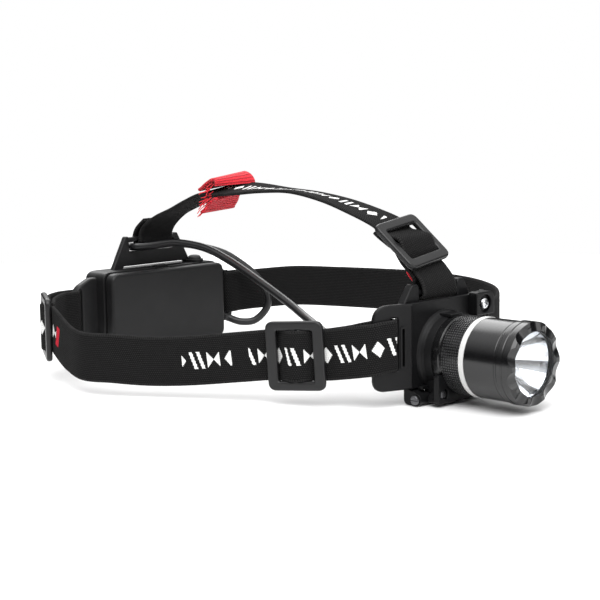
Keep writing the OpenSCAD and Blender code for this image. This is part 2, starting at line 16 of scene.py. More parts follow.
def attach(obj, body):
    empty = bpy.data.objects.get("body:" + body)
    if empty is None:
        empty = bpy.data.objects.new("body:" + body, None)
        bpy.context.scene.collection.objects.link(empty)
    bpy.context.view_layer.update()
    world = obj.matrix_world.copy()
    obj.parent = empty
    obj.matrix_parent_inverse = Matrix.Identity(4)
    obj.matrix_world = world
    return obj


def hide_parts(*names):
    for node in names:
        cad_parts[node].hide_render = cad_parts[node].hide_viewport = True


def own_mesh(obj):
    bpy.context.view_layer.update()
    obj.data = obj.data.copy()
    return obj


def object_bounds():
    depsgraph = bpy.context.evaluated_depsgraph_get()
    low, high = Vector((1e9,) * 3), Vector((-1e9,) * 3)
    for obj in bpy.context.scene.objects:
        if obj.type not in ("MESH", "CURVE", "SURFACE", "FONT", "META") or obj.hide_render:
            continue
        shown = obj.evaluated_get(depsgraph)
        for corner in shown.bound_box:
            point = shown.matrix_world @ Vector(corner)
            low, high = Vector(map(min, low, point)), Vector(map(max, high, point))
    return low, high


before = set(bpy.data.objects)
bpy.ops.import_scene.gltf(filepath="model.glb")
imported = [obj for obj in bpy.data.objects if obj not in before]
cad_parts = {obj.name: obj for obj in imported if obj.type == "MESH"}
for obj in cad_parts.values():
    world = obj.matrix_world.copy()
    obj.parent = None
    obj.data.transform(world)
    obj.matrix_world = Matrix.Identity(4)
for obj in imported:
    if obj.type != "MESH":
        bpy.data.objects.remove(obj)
cad_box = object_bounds()

MM = 0.001
UP = Vector((0, 0, 1))
LEFT = Vector((1, 0, 0))

# Sizes shared with the CAD part
FRONT_Y = -100.2
LAMP_Z = -5.4
PLATE_LEFT, PLATE_RIGHT, PLATE_HALF_HEIGHT = -24.6, 31.0, 20.2
TILT_Y, TILT_Z = -102.0, -25.2
BOX_X, BOX_Y, BOX_Z = -3.0, 99.6, -1.0
BOX_HALF_WIDTH, BOX_HALF_HEIGHT, BOX_DEPTH, COVER_DEPTH = 42.0, 22.5, 26.0, 7.0
WEB_WIDTH, WEB_THICKNESS = 24.4, 1.8
LEAD_DIAMETER = 4.3

# The lamp's axis: where it meets the front plate, and the way it shines
LAMP_POINT = Vector((0, FRONT_Y, LAMP_Z))
BEAM = Vector((0, -1, 0))


# ---------- curves and outlines ----------

def catmull(a, b, c, d, t):
    return [0.5 * (2 * q + (r - p) * t + (2 * p - 5 * q + 4 * r - s) * t * t
                   + (3 * q - p - 3 * r + s) * t ** 3) for p, q, r, s in zip(a, b, c, d)]


def smooth(points, steps):
    last = len(points) - 1
    out = []
    for i in range(last):
        a, b, c, d = (points[min(max(i + k, 0), last)] for k in (-1, 0, 1, 2))
        out += [catmull(a, b, c, d, k / steps) for k in range(steps)]
    return out + [list(points[-1])]


def fillet(points, radius, steps=5):
    """Closed outline with each corner rounded. radius is one number or one for each corner."""
    out = []
    count = len(points)
    for i, p in enumerate(points):
        r = radius[i] if isinstance(radius, (list, tuple)) else radius
        here = Vector(p)
        back = Vector(points[i - 1]) - here
        ahead = Vector(points[(i + 1) % count]) - here
        corner = back.angle(ahead)
        if r <= 0 or corner > math.pi - 0.02:
            out.append(tuple(here))
            continue
        cut = min(r / math.tan(corner / 2), 0.48 * back.length, 0.48 * ahead.length)
        start = here + back.normalized() * cut
        end = here + ahead.normalized() * cut
        for k in range(steps + 1):
            t = k / steps
            out.append(tuple(start * (1 - t) ** 2 + here * 2 * t * (1 - t) + end * t * t))
    return out


def rectangle(x0, x1, z0, z1, r, steps=8):
    return fillet([(x0, z0), (x1, z0), (x1, z1), (x0, z1)], r, steps)


def circle(x, z, r, steps=32):
    return [(x + r * math.cos(2 * math.pi * k / steps), z + r * math.sin(2 * math.pi * k / steps))
            for k in range(steps)]


def signed_area(loop):
    return sum(a[0] * b[1] - b[0] * a[1] for a, b in zip(loop, loop[1:] + loop[:1])) / 2


# ---------- meshes, in millimetres ----------

def add_object(name, data):
    obj = bpy.data.objects.new(name, data)
    bpy.context.scene.collection.objects.link(obj)
    return obj


def evaluated_mesh(obj):
    depsgraph = bpy.context.evaluated_depsgraph_get()
    depsgraph.update()
    return bpy.data.meshes.new_from_object(obj.evaluated_get(depsgraph))


def weld(mesh, reach=1e-4):
    bm = bmesh.new()
    bm.from_mesh(mesh)
    bmesh.ops.remove_doubles(bm, verts=bm.verts, dist=reach)
    bmesh.ops.recalc_face_normals(bm, faces=bm.faces)
    bm.to_mesh(mesh)
    bm.free()
    return mesh


def prism(loops, thickness, edge, axes, centre, rings=3):
    """Flat plate of the outer loop less the others, with rounded edges.
    axes are the directions of the outline's two coordinates and of the thickness."""
    curve = bpy.data.curves.new("outline", "CURVE")
    curve.dimensions, curve.fill_mode = "2D", "BOTH"
    curve.extrude = thickness / 2 - edge
    curve.bevel_depth, curve.bevel_resolution, curve.offset = edge, rings, -edge
    for i, loop in enumerate(loops):
        ordered = loop if (signed_area(loop) > 0) == (i == 0) else loop[::-1]
        spline = curve.splines.new("POLY")
        spline.points.add(len(ordered) - 1)
        for point, (x, y) in zip(spline.points, ordered):
            point.co = (x, y, 0, 1)
        spline.use_cyclic_u = True
    obj = add_object("temporary", curve)
    mesh = evaluated_mesh(obj)
    bpy.data.objects.remove(obj)
    bpy.data.curves.remove(curve)
    matrix = Matrix(axes).transposed().to_4x4()
    matrix.translation = centre
    mesh.transform(matrix)
    return weld(mesh)


FACING = ((1, 0, 0), (0, 0, 1), (0, -1, 0))


def plate(loops, y0, y1, edge, rings=3):
    """Prism that lies across the beam, from y0 to y1."""
    return prism(loops, abs(y1 - y0), edge, FACING, Vector((0, (y0 + y1) / 2, 0)), rings)


def lathe_mesh(profile, at, axis, steps=160):
    """Closed profile of (radius, distance) turned about an axis."""
    axis = Vector(axis).normalized()
    side = axis.orthogonal().normalized()
    other = axis.cross(side)
    verts, faces = [], []
    count = len(profile)
    for k in range(steps):
        a = 2 * math.pi * k / steps
        spoke = side * math.cos(a) + other * math.sin(a)
        verts += [Vector(at) + spoke * r + axis * d for r, d in profile]
    for k in range(steps):
        for i in range(count):
            j, m = (i + 1) % count, (k + 1) % steps
            faces.append((k * count + i, k * count + j, m * count + j, m * count + i))
    mesh = bpy.data.meshes.new("turned")
    mesh.from_pydata(verts, [], faces)
    return weld(mesh)


def turned(profile, round_by, steps=160):
    """Turned part on the lamp's axis, with its corners rounded."""
    return lathe_mesh(fillet(profile, round_by, 3), LAMP_POINT, BEAM, steps)


def rod(start, end, radius, edge=0.3, steps=40):
    start, end = Vector(start), Vector(end)
    length = (end - start).length
    loop = fillet([(0, 0), (radius, 0), (radius, length), (0, length)], [0, edge, edge, 0], 3)
    return lathe_mesh(loop, start, end - start, steps)


def carve(mesh, cutters, operation="DIFFERENCE"):
    base = add_object("temporary", mesh)
    tools = [add_object("temporary", cutter) for cutter in cutters]
    for tool in tools:
        cut = base.modifiers.new("cut", "BOOLEAN")
        cut.object, cut.operation, cut.solver = tool, operation, "EXACT"
    result = evaluated_mesh(base)
    for obj in [base] + tools:
        bpy.data.objects.remove(obj)
    return weld(result)


def block(low, high, edge=0.0):
    """Box between two corners, for cutters and small blocks."""
    x0, y0, z0 = low
    x1, y1, z1 = high
    outline = [(x0, z0), (x1, z0), (x1, z1), (x0, z1)]
    if edge:
        return plate([fillet(outline, edge, 3)], y0, y1, edge)
    corners = [(x, y, z) for x in (x0, x1) for y in (y0, y1) for z in (z0, z1)]
    mesh = bpy.data.meshes.new("block")
    mesh.from_pydata(corners, [], [(0, 1, 3, 2), (4, 6, 7, 5), (0, 4, 5, 1), (2, 3, 7, 6),
                                   (0, 2, 6, 4), (1, 5, 7, 3)])
    return weld(mesh)


# ---------- pieces ----------

def settle(obj, body, replaced):
    """Puts a piece on its body and hides the CAD nodes that it stands for."""
    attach(obj, body)
    if replaced:
        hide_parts(*replaced)
    return obj


def piece(name, meshes, material, body, replaced=(), sharp=32.0, flat_faces=True):
    """One visible piece: joins the meshes, scales them to metres and puts them on their body.
    Edges that bend by more than sharp degrees stay crisp."""
    joined = bmesh.new()
    for mesh in meshes if isinstance(meshes, (list, tuple)) else [meshes]:
        joined.from_mesh(mesh)
    bmesh.ops.scale(joined, vec=(MM, MM, MM), verts=joined.verts)
    limit = math.radians(sharp)
    for face in joined.faces:
        face.smooth = True
    for edge in joined.edges:
        edge.smooth = edge.calc_face_angle(0.0) < limit
    data = bpy.data.meshes.new(name)
    joined.to_mesh(data)
    joined.free()
    data.materials.append(material)
    obj = add_object(name, data)
    if flat_faces:
        weighted = obj.modifiers.new("weighted_normals", "WEIGHTED_NORMAL")
        weighted.keep_sharp = True
    return settle(obj, body, replaced)


def wire_piece(name, runs, diameter, rings, capped, material):
    """Round lead or threads on the head band, one for each run of points."""
    data = bpy.data.curves.new(name, "CURVE")
    data.dimensions, data.use_fill_caps = "3D", capped
    data.bevel_depth, data.bevel_resolution = diameter / 2 * MM, rings
    for run in runs:
        spline = data.splines.new("POLY")
        spline.points.add(len(run) - 1)
        for point, place in zip(spline.points, run):
            point.co = (*(c * MM for c in place), 1)
    data.materials.append(material)
    obj = add_object(name, data)
    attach(obj, "headset")
    return obj


# ---------- webbing paths, as in the CAD part ----------

def frame_of(direction, width):
    """Unit vectors along a strap and out of its face."""
    d = Vector(direction).normalized()
    return d, Vector(width).cross(d).normalized()


# Each buckle's centre, the direction of its strap and the direction away from the head
NEAR_BUCKLE = (Vector((-60, -60, -4)), *frame_of((-23, 53, -3), UP))
REAR_BUCKLE = (Vector((-96.2, 88.4, -0.4)), *frame_of((0.5, 0.86, 0.03), UP))
TOP_BUCKLE = (Vector((-3.5, -83, 46.4)), *frame_of((-5, 22, 21), LEFT))


def spot(buckle, along, out):
    centre, run, outward = buckle
    return (*(centre + run * along + outward * out), 0)


def weave(buckle):
    """The strap's way over the buckle's middle bar."""
    return [spot(buckle, s, k) for s, k in ((-15.5, -2.7), (-9.6, -2.35), (-5.2, 0.4), (0, 2.6),
                                            (5.2, 0.4), (9.6, -2.35), (15.5, -2.7))]


def tail(buckle, side):
    """The strap's end, which runs below the strap up to the middle bar."""
    far = -5.2 if buckle is TOP_BUCKLE else -5.1
    return [spot(buckle, side * 15.5, far), spot(buckle, side * 8, -4.5), spot(buckle, side, -2.9)]


# Points of each run: place and twist in degrees
NEAR_RUN = ([(-32.4, -94.6, 1.6, 0), (-32.3, -96.8, 1.5, 0), (-33.9, -98.3, 1.4, 0),
             (-39.4, -96.2, 1, 0), (-43.9, -93.9, 0.2, 0), (-47.4, -86.8, -1, 0)]
            + weave(NEAR_BUCKLE)
            + [(-71.2, -31, -6.5, 0), (-82.6, -10, -9, 0), (-93, 8, -10, 0), (-104, 24, -9, 0),
               (-109, 40, -9, 0), (-106.4, 56, -6.6, 0)]
            + weave(REAR_BUCKLE)
            + [(-79.4, 110.2, 0.6, 0), (-69.6, 116.8, 0.6, 0), (-63, 119.3, 0.4, 0),
               (-58.6, 119.2, 0.4, 0), (-57, 117.2, 0.4, 0), (-57, 114.6, 0.4, 0)])
NEAR_TAIL = [(-32.1, -93.2, 1.6, 0), (-33.4, -91.8, 1.4, 0), (-36.6, -90.9, 1.2, 0),
             (-41.8, -88, 0.4, 0), (-45, -83.4, -1, 0)] + tail(NEAR_BUCKLE, -1)
REAR_LEFT = [(-57.2, 113.9, 0.4, 0), (-58.8, 112.1, 0.4, 0), (-63, 111.9, 0.4, 0),
             (-69, 110.8, 0.6, 0), (-77, 105.2, 0.6, 0)] + tail(REAR_BUCKLE, 1)
FAR_RUN = [(71, 113.8, 0.8, 0), (63, 117.8, 0.6, 0), (56, 119.4, 0.4, 0), (51.8, 118.6, 0.4, 0),
           (51.1, 115.7, 0.4, 0), (51.8, 112.8, 0.4, 0), (56, 111.9, 0.4, 0), (64, 112, 0.6, 0),
           (77, 107.4, 1, 0), (93, 94, 2, 0), (104.4, 70, 2, 0), (108, 35, 3, 0), (107, 0, 4, 0),
           (100, -35, 4, 0), (88, -61, 3, 0), (70, -78.6, 2, 0), (56, -85.6, 1, 0),
           (47.6, -89.2, 0, 0), (42.6, -92.8, 0, 0), (39.4, -95, 0, 0), (37.8, -95.2, 0, 0),
           (37.2, -93.4, 0, 0), (37.5, -90.8, 0, 0), (39.6, -87.6, 0, 0), (44, -84.8, 0, 0),
           (50.6, -82.6, 0, 0)]
TOP_FRONT = ([(0, -91.7, 23.8, 0), (0, -92.6, 21.7, 0), (0, -94.6, 20.8, 0), (0, -96.9, 21.7, 0),
              (0, -97.5, 24.2, 0), (-0.4, -96.2, 28.8, 0)]
             + weave(TOP_BUCKLE)
             + [(-8, -58, 59.8, 1), (-8.4, -38, 65, 4), (-6.4, -14, 68, 5), (-4, 10, 68.2, 0),
                (-2, 34, 68, -10), (-1, 52, 67.6, -14)])
TOP_TAIL = ([(0, -91.6, 24.6, 0), (-0.2, -91.2, 28.4, 0)] + tail(TOP_BUCKLE, -1)
            + [spot(TOP_BUCKLE, s, k) for s, k in ((4, -3.7), (9.6, -4.5), (14, -4.7))])
TOP_REAR = [(-1, 52.6, 67.6, -14), (-1, 62, 66.2, -8), (-2, 74, 61, -3), (-2, 86, 56.4, -4),
            (-2, 99, 51.6, -3), (-2, 109, 45.6, 0), (-2, 112.9, 40.4, 0), (-2, 113.4, 36.4, 0),
            (-2, 115.6, 34.6, 0), (-2, 118, 35.4, 0), (-2, 118.9, 38.4, 0), (-2, 116.2, 43.6, 0),
            (-2, 109, 49, 0)]
LEAD_RUN = [(45.55, 110, -13.6), (46.4, 110, -13.6), (47.2, 110, -13.6), (49.8, 108.6, -14.8),
            (54.4, 103, -17), (61, 97.4, -16), (67, 93.4, -8.4), (67.6, 94.4, 1),
            (61.6, 99, 12), (48, 109, 24.4), (33, 119.2, 30), (20, 123.4, 31.6), (-4, 124, 32.4),
            (-15, 121.8, 33.2), (-17.5, 116.6, 33.4), (-17, 110, 33.6), (-14.4, 103, 34.4),
            (-11, 95, 35.8), (-8.6, 84, 36.8), (-5, 65.5, 34.6), (-3, 46, 27.8), (-5, 21, 18.8),
            (-8, -3, 10), (-14, -22, 4.6), (-24, -44, 0.8), (-34.6, -64, -1.4),
            (-39.2, -76.5, -2), (-37.6, -84.4, -2), (-34.6, -87.8, -2), (-31.8, -88.8, -2),
            (-30.9, -88.8, -2), (-30.05, -88.8, -2)]


def section(width, thickness):
    """Half-round edged cross-section of webbing: (across, out, v for the weave)."""
    half, r = width / 2, thickness / 2
    top = [(half - r) * (2 * k / 12 - 1) for k in range(13)]
    ring = [(x, r) for x in top]
    ring += [(half - r + r * math.sin(a), r * math.cos(a)) for a in (0.6, 1.2, 1.94, 2.54)]
    ring += [(x, -r) for x in reversed(top)]
    ring += [(-half + r - r * math.sin(a), -r * math.cos(a)) for a in (0.6, 1.2, 1.94, 2.54)]
    return ring


def ribbon(name, run, reference, width, thickness, material, replaced=(), steps=10,
           edge_wave=0.0):
    """Flat strap of the head band swept along a smooth run, its width along the reference.
    Its UV map holds millimetres along and across it."""
    stations = smooth(run, steps)
    centres = [Vector(q[:3]) for q in stations]
    ring = section(width, thickness)
    count = len(ring)
    verts, rows, length = [], [], 0.0
    for i, c in enumerate(centres):
        ahead = centres[min(i + 1, len(centres) - 1)]
        behind = centres[max(i - 1, 0)]
        t = (ahead - behind).normalized()
        w = (reference - t * reference.dot(t)).normalized()
        twist = math.radians(stations[i][3])
        u = w * math.cos(twist) + t.cross(w) * math.sin(twist)
        v = t.cross(u)
        if i:
            length += (c - centres[i - 1]).length
        rows.append(length)
        sway = edge_wave * math.sin(length * 0.9)
        verts += [(c + u * (x + sway * x / width) + v * y) * MM for x, y in ring]
    faces, uvs = [], []
    for i in range(len(centres) - 1):
        for k in range(count):
            m = (k + 1) % count
            faces.append((i * count + k, i * count + m, (i + 1) * count + m, (i + 1) * count + k))
            uvs += [(rows[i], ring[k][0]), (rows[i], ring[m][0]),
                    (rows[i + 1], ring[m][0]), (rows[i + 1], ring[k][0])]
    for start, order in ((0, reversed(range(count))), ((len(centres) - 1) * count, range(count))):
        loop = [start + k for k in order]
        faces.append(tuple(loop))
        uvs += [(rows[start // count], ring[k - start][0]) for k in loop]
    mesh = bpy.data.meshes.new(name)
    mesh.from_pydata(verts, [], faces)
    layer = mesh.uv_layers.new(name="weave")
    for item, uv in zip(layer.data, uvs):
        item.uv = uv
    for polygon in mesh.polygons:
        polygon.use_smooth = len(polygon.vertices) == 4
    mesh.materials.append(material)
    return settle(add_object(name, mesh), "headset", replaced)


# ---------- camera ----------

def make_camera():
    """Viewpoint in front of the lamp, to the wearer's right and slightly above, with a small roll."""
    turn, dip, roll = math.radians(44.7), math.radians(7.76), math.radians(0.88)
    back = Vector((-math.sin(turn) * math.cos(dip), -math.cos(turn) * math.cos(dip), math.sin(dip)))
    right = Vector((math.cos(turn), -math.sin(turn), 0))
    up = back.cross(right)
    level = right * math.cos(roll) - up * math.sin(roll)
    rise = right * math.sin(roll) + up * math.cos(roll)
    data = bpy.data.cameras.new("camera")
    data.sensor_width, data.lens = 36.0, 85.9
    data.clip_start, data.clip_end = 0.01, 50
    matrix = Matrix((level, rise, back)).transposed().to_4x4()
    matrix.translation = Vector((-523.1, -531.3, 112.4)) * MM
    obj = add_object("camera", data)
    obj.matrix_world = matrix
    bpy.context.scene.camera = obj


# ---------- shader wiring ----------

class Shade:
    """A material with a Principled shader and short calls for its nodes."""

    def __init__(self, name, metallic=0.0, roughness=0.5, specular=0.5):
        self.material = bpy.data.materials.new(name)
        self.material.use_nodes = True
        self.tree = self.material.node_tree
        self.shader = self.tree.nodes["Principled BSDF"]
        self.set("Metallic", metallic)
        self.set("Roughness", roughness)
        self.set("Specular IOR Level", specular)
        self.place = self.node("ShaderNodeTexCoord").outputs["Object"]

    def set(self, socket, value):
        self.feed(self.shader.inputs[socket], value)

    def feed(self, socket, value):
        if isinstance(value, bpy.types.NodeSocket):
            self.tree.links.new(value, socket)
        else:
            socket.default_value = value

    def node(self, kind, inputs=(), **settings):
        n = self.tree.nodes.new(kind)
        for key, value in settings.items():
            setattr(n, key, value)
        for key, value in dict(inputs).items():
            self.feed(n.inputs[key], value)
        return n

    def math(self, operation, a, b=0.0, c=0.0):
        n = self.node("ShaderNodeMath", operation=operation)
        for socket, value in zip(n.inputs, (a, b, c)):
            self.feed(socket, value)
        return n.outputs[0]

    def noise(self, size, detail):
        """Noise with features of about that many millimetres."""
        n = self.node("ShaderNodeTexNoise", {"Scale": 1000.0 / size, "Detail": detail,
                                             "Vector": self.place})
        return n.outputs["Fac"]

    def rings(self, size):
        """Noise that changes only along Y, as marks left by a lathe."""
        y = self.node("ShaderNodeSeparateXYZ", {"Vector": self.place}).outputs["Y"]
        n = self.node("ShaderNodeTexNoise", noise_dimensions="1D")
        self.feed(n.inputs["W"], self.math("MULTIPLY", y, 1000.0 / size))
        n.inputs["Scale"].default_value = 1.0
        return n.outputs["Fac"]

    def between(self, factor, low, high):
        n = self.node("ShaderNodeMapRange", {"Value": factor, "To Min": low, "To Max": high})
        return n.outputs["Result"]

    def mix(self, factor, a, b):
        n = self.node("ShaderNodeMix", data_type="RGBA")
        self.feed(n.inputs[0], factor)
        self.feed(n.inputs[6], (*a, 1) if isinstance(a, tuple) else a)
        self.feed(n.inputs[7], (*b, 1) if isinstance(b, tuple) else b)
        return n.outputs[2]

    def bump(self, height, depth, strength=1.0, under=None):
        """Bump of that depth in millimetres."""
        n = self.node("ShaderNodeBump", {"Height": height, "Distance": depth * MM,
                                         "Strength": strength})
        if under:
            self.feed(n.inputs["Normal"], under)
        return n.outputs["Normal"]

    def tone(self, size, detail, dark, light):
        """Colour that drifts between two tones."""
        self.set("Base Color", self.mix(self.noise(size, detail), dark, light))

    def gloss(self, size, detail, low, high):
        """Roughness that drifts between two values."""
        self.set("Roughness", self.between(self.noise(size, detail), low, high))

    def grain(self, size, detail, depth):
        """Uneven surface of that depth in millimetres."""
        self.set("Normal", self.bump(self.noise(size, detail), depth))

    def weave_place(self):
        """Millimetres along and across a strap."""
        uv = self.node("ShaderNodeUVMap", uv_map="weave").outputs[0]
        parts = self.node("ShaderNodeSeparateXYZ", {"Vector": uv}).outputs
        return parts["X"], parts["Y"]


def moulded(name, dark, light, rough=0.5, grain=0.35, depth=0.02, specular=0.5):
    """Fine-grained injection-moulded plastic with faint tone and gloss changes."""
    s = Shade(name, specular=specular)
    s.tone(14, 3, dark, light)
    s.gloss(6, 4, rough - 0.07, rough + 0.09)
    s.grain(grain, 2, depth)
    return s.material


def machined(name, dark, light, rough, metallic, line=0.25, depth=0.003, specular=0.5):
    """Turned metal with faint lathe lines."""
    s = Shade(name, metallic=metallic, specular=specular)
    s.tone(9, 3, dark, light)
    s.set("Roughness", s.between(s.rings(line), rough - 0.004, rough + 0.006))
    fine = s.bump(s.rings(line), depth)
    s.set("Normal", s.bump(s.noise(0.12, 1), 0.0008, 1.0, fine))
    return s.material


def metal(name, dark, light, rough):
    """Stamped or wire metal with brushed tone changes."""
    s = Shade(name, metallic=1.0)
    s.tone(1.2, 4, dark, light)
    s.gloss(0.6, 4, rough - 0.08, rough + 0.12)
    s.grain(0.3, 2, 0.006)
    return s.material


def rubbery(name, tone, rough, grain, depth, specular=0.5):
    s = Shade(name, specular=specular)
    lift = tuple(c * 1.7 for c in tone)
    s.tone(5, 4, tone, lift)
    s.gloss(2.5, 3, rough - 0.06, rough + 0.1)
    s.grain(grain, 2, depth)
    return s.material


def foam():
    s = Shade("foam_grey", roughness=0.95, specular=0.2)
    cells = s.node("ShaderNodeTexVoronoi", {"Scale": 1000.0 / 0.7, "Vector": s.place})
    s.tone(1.5, 4, (0.035, 0.036, 0.04), (0.075, 0.077, 0.083))
    s.set("Normal", s.bump(cells.outputs["Distance"], 0.25))
    return s.material


def board():
    """Green circuit board with pale pads and darker tracks."""
    s = Shade("circuit_board", roughness=0.35)
    tracks = s.node("ShaderNodeTexBrick", {
        "Scale": 420.0, "Vector": s.place, "Mortar Size": 0.03, "Color1": (0.015, 0.12, 0.04, 1),
        "Color2": (0.02, 0.16, 0.055, 1), "Mortar": (0.008, 0.06, 0.025, 1)})
    s.set("Base Color", tracks.outputs["Color"])
    s.gloss(1.0, 2, 0.25, 0.45)
    s.set("Normal", s.bump(tracks.outputs["Fac"], 0.03))
    return s.material


def wrapped_cell():
    """Shrink-wrapped cell with a darker band at one end."""
    s = Shade("cell_wrap_blue", roughness=0.3)
    x = s.node("ShaderNodeSeparateXYZ", {"Vector": s.place}).outputs["X"]
    band = s.math("GREATER_THAN", x, 0.022)
    blue = s.mix(s.noise(8, 2), (0.02, 0.09, 0.32), (0.03, 0.13, 0.42))
    s.set("Base Color", s.mix(band, blue, (0.02, 0.02, 0.025)))
    s.gloss(3, 3, 0.22, 0.38)
    s.grain(2.2, 2, 0.03)
    return s.material


def phosphor():
    s = Shade("led_phosphor", roughness=0.4)
    s.tone(0.5, 2, (0.75, 0.55, 0.12), (0.85, 0.68, 0.25))
    s.gloss(0.4, 2, 0.3, 0.5)
    # Faint yellow emission on the unlit emitter: a painted glow.
    s.set("Emission Color", (1.0, 0.78, 0.3, 1))
    s.set("Emission Strength", 0.35)
    return s.material


def glow_white():
    """White light-storing ring, faintly mottled."""
    s = Shade("ring_white", roughness=0.45)
    s.tone(1.4, 3, (0.60, 0.60, 0.59), (0.70, 0.70, 0.69))
    s.gloss(0.8, 2, 0.35, 0.5)
    s.grain(0.3, 2, 0.01)
    return s.material


def mirror():
    """Bright vacuum-coated reflector with faint spinning marks."""
    s = Shade("reflector_mirror", metallic=1.0)
    s.tone(6, 2, (0.86, 0.87, 0.89), (0.95, 0.95, 0.96))
    s.set("Roughness", s.between(s.rings(0.3), 0.03, 0.09))
    s.grain(5, 2, 0.06)
    return s.material


def clear_lens():
    """Thin clear window: see-through, and glossier where it is seen at a slant."""
    s = Shade("lens_clear")
    s.tree.nodes.remove(s.shader)
    through = s.node("ShaderNodeBsdfTransparent", {"Color": (0.96, 0.97, 0.98, 1)})
    smudge = s.between(s.noise(7, 3), 0.01, 0.06)
    gloss = s.node("ShaderNodeBsdfGlossy", {"Color": (1, 1, 1, 1), "Roughness": smudge})
    facing = s.node("ShaderNodeLayerWeight", {"Blend": 0.5}).outputs["Facing"]
    edge = s.between(s.math("POWER", facing, 3.0), 0.04, 0.7)
    mix = s.node("ShaderNodeMixShader")
    s.feed(mix.inputs[0], edge)
    s.tree.links.new(through.outputs[0], mix.inputs[1])
    s.tree.links.new(gloss.outputs[0], mix.inputs[2])
    out = s.tree.nodes["Material Output"]
    s.tree.links.new(mix.outputs[0], out.inputs["Surface"])
    return s.material


# ---------- woven materials ----------

MARK_HALF_HEIGHT = 4.15
MARK_STROKE = 1.7
MARK_PITCH = 8.6
BAR_LEAN, BAR_REACH = 0.3, 1.9
DIAMOND_SLOPE, DIAMOND_REACH = 1.3, 3.9
TIE_SLOPE, TIE_REACH = 1.15, 3.2
WEAVE_RIB, WEAVE_COLUMN, EDGE_CORD = 1.0, 0.95, 1.1
# Webbing tones: the light one for thread tops, the dark one also painted shade in the weave's gaps.
WEB_DARK, WEB_LIGHT = (0.002, 0.002, 0.0022), (0.034, 0.0335, 0.0335)
MARK_WHITE = (0.86, 0.86, 0.85)
MARK_RED_DARK, MARK_RED_LIGHT = (0.25, 0.004, 0.01), (0.75, 0.03, 0.06)


def thread_pattern(s, u, v):
    """Height of a plain weave: ribs across the strap and columns along it."""
    lane = s.math("FLOOR", s.math("DIVIDE", v, WEAVE_COLUMN))
    phase = s.math("MULTIPLY", lane, math.pi / 2)
    over = s.math("SINE", s.math("ADD", s.math("MULTIPLY", u, math.pi / WEAVE_RIB), phase))
    across = s.math("SINE", s.math("MULTIPLY", v, math.pi / WEAVE_COLUMN))
    return s.math("POWER", s.math("MULTIPLY", s.math("ABSOLUTE", over),
                                  s.math("ABSOLUTE", across)), 0.6)


def zone(s, u, spans):
    """1 where u lies in one of the spans."""
    total = 0.0
    for low, high in spans:
        inside = s.math("MULTIPLY", s.math("GREATER_THAN", u, low), s.math("LESS_THAN", u, high))
        total = inside if total == 0.0 else s.math("ADD", total, inside)
    return total


def woven_marks(s, u, v, spans):
    """Generic woven row of leaning bar pairs, solid diamonds and bow ties within the spans."""
    height = s.math("ABSOLUTE", v)
    phase = s.math("SUBTRACT", s.math("MODULO", u, MARK_PITCH), MARK_PITCH / 2)
    index = s.math("MODULO", s.math("FLOOR", s.math("DIVIDE", u, MARK_PITCH)), 3.0)
    leaning = s.math("ABSOLUTE", s.math("SUBTRACT", phase, s.math("MULTIPLY", v, BAR_LEAN)))
    bars = s.math("LESS_THAN", s.math("ABSOLUTE", s.math("SUBTRACT", leaning, BAR_REACH)),
                  MARK_STROKE / 2)
    side = s.math("ABSOLUTE", phase)
    slope = s.math("ADD", s.math("MULTIPLY", side, DIAMOND_SLOPE), height)
    diamond = s.math("LESS_THAN", slope, DIAMOND_REACH)
    tie = s.math("MULTIPLY", s.math("LESS_THAN", height, s.math("MULTIPLY", side, TIE_SLOPE)),
                 s.math("LESS_THAN", side, TIE_REACH))
    shape = 0.0
    for k, motif in enumerate((bars, diamond, tie)):
        chosen = s.math("MULTIPLY", s.math("COMPARE", index, float(k), 0.5), motif)
        shape = chosen if k == 0 else s.math("ADD", shape, chosen)
    tall = s.math("LESS_THAN", height, MARK_HALF_HEIGHT)
    return s.math("MULTIPLY", s.math("MULTIPLY", shape, tall), zone(s, u, spans))


def webbing(name, spans=(), red_zone=None):
    """Black elastic webbing: fine weave, corded edges, and woven white marks in some stretches."""
    s = Shade(name, roughness=0.9, specular=0.05)
    s.shader.inputs["Sheen Weight"].default_value = 0.02
    s.shader.inputs["Sheen Roughness"].default_value = 0.5
    u, v = s.weave_place()
    wobble = s.math("MULTIPLY", s.math("SUBTRACT", s.noise(2.5, 2), 0.5), 0.25)
    u_thread, v_thread = s.math("ADD", u, wobble), s.math("ADD", v, wobble)
    height = thread_pattern(s, u_thread, v_thread)
    edge = s.math("GREATER_THAN", s.math("ABSOLUTE", v), WEB_WIDTH / 2 - 1.3)
    cord = s.math("ABSOLUTE", s.math("SINE", s.math("MULTIPLY", u, math.pi / EDGE_CORD)))
    height = s.math("MAXIMUM", height, s.math("MULTIPLY", edge, cord))
    fluff = s.noise(0.35, 2)
    # Colour follows the weave's height: thread tops take WEB_LIGHT and the low gaps WEB_DARK, which is
    # painted shade in the gaps; the fluff noise adds random tone.
    tone = s.math("MULTIPLY", s.math("POWER", height, 1.5), s.between(fluff, 0.05, 1.25))
    base = s.mix(tone, WEB_DARK, WEB_LIGHT)
    if red_zone:
        low = s.math("LESS_THAN", s.math("ABSOLUTE", v), MARK_HALF_HEIGHT + 1)
        patch = s.math("MULTIPLY", low, zone(s, u, [red_zone]))
        # The red patch is lighter on thread tops and darker in the weave's gaps: painted shade in the
        # gaps.
        base = s.mix(patch, base, s.mix(height, MARK_RED_DARK, MARK_RED_LIGHT))
    if spans:
        jag = s.math("SUBTRACT", u, s.math("MULTIPLY", s.math("MODULO", s.math("ADD", u, 50), 0.5),
                                           0.8))
        mask = woven_marks(s, jag, v, spans)
        # The white marks are fainter where the weave is low: painted shade in the gaps.
        fleck = s.math("MULTIPLY", mask, s.between(s.math("GREATER_THAN", height, 0.12), 0.45, 1))
        base = s.mix(fleck, base, MARK_WHITE)
    s.set("Base Color", base)
    s.set("Normal", s.bump(s.math("ADD", height, s.math("MULTIPLY", fluff, 0.4)), 0.16, 0.8))
    return s.material


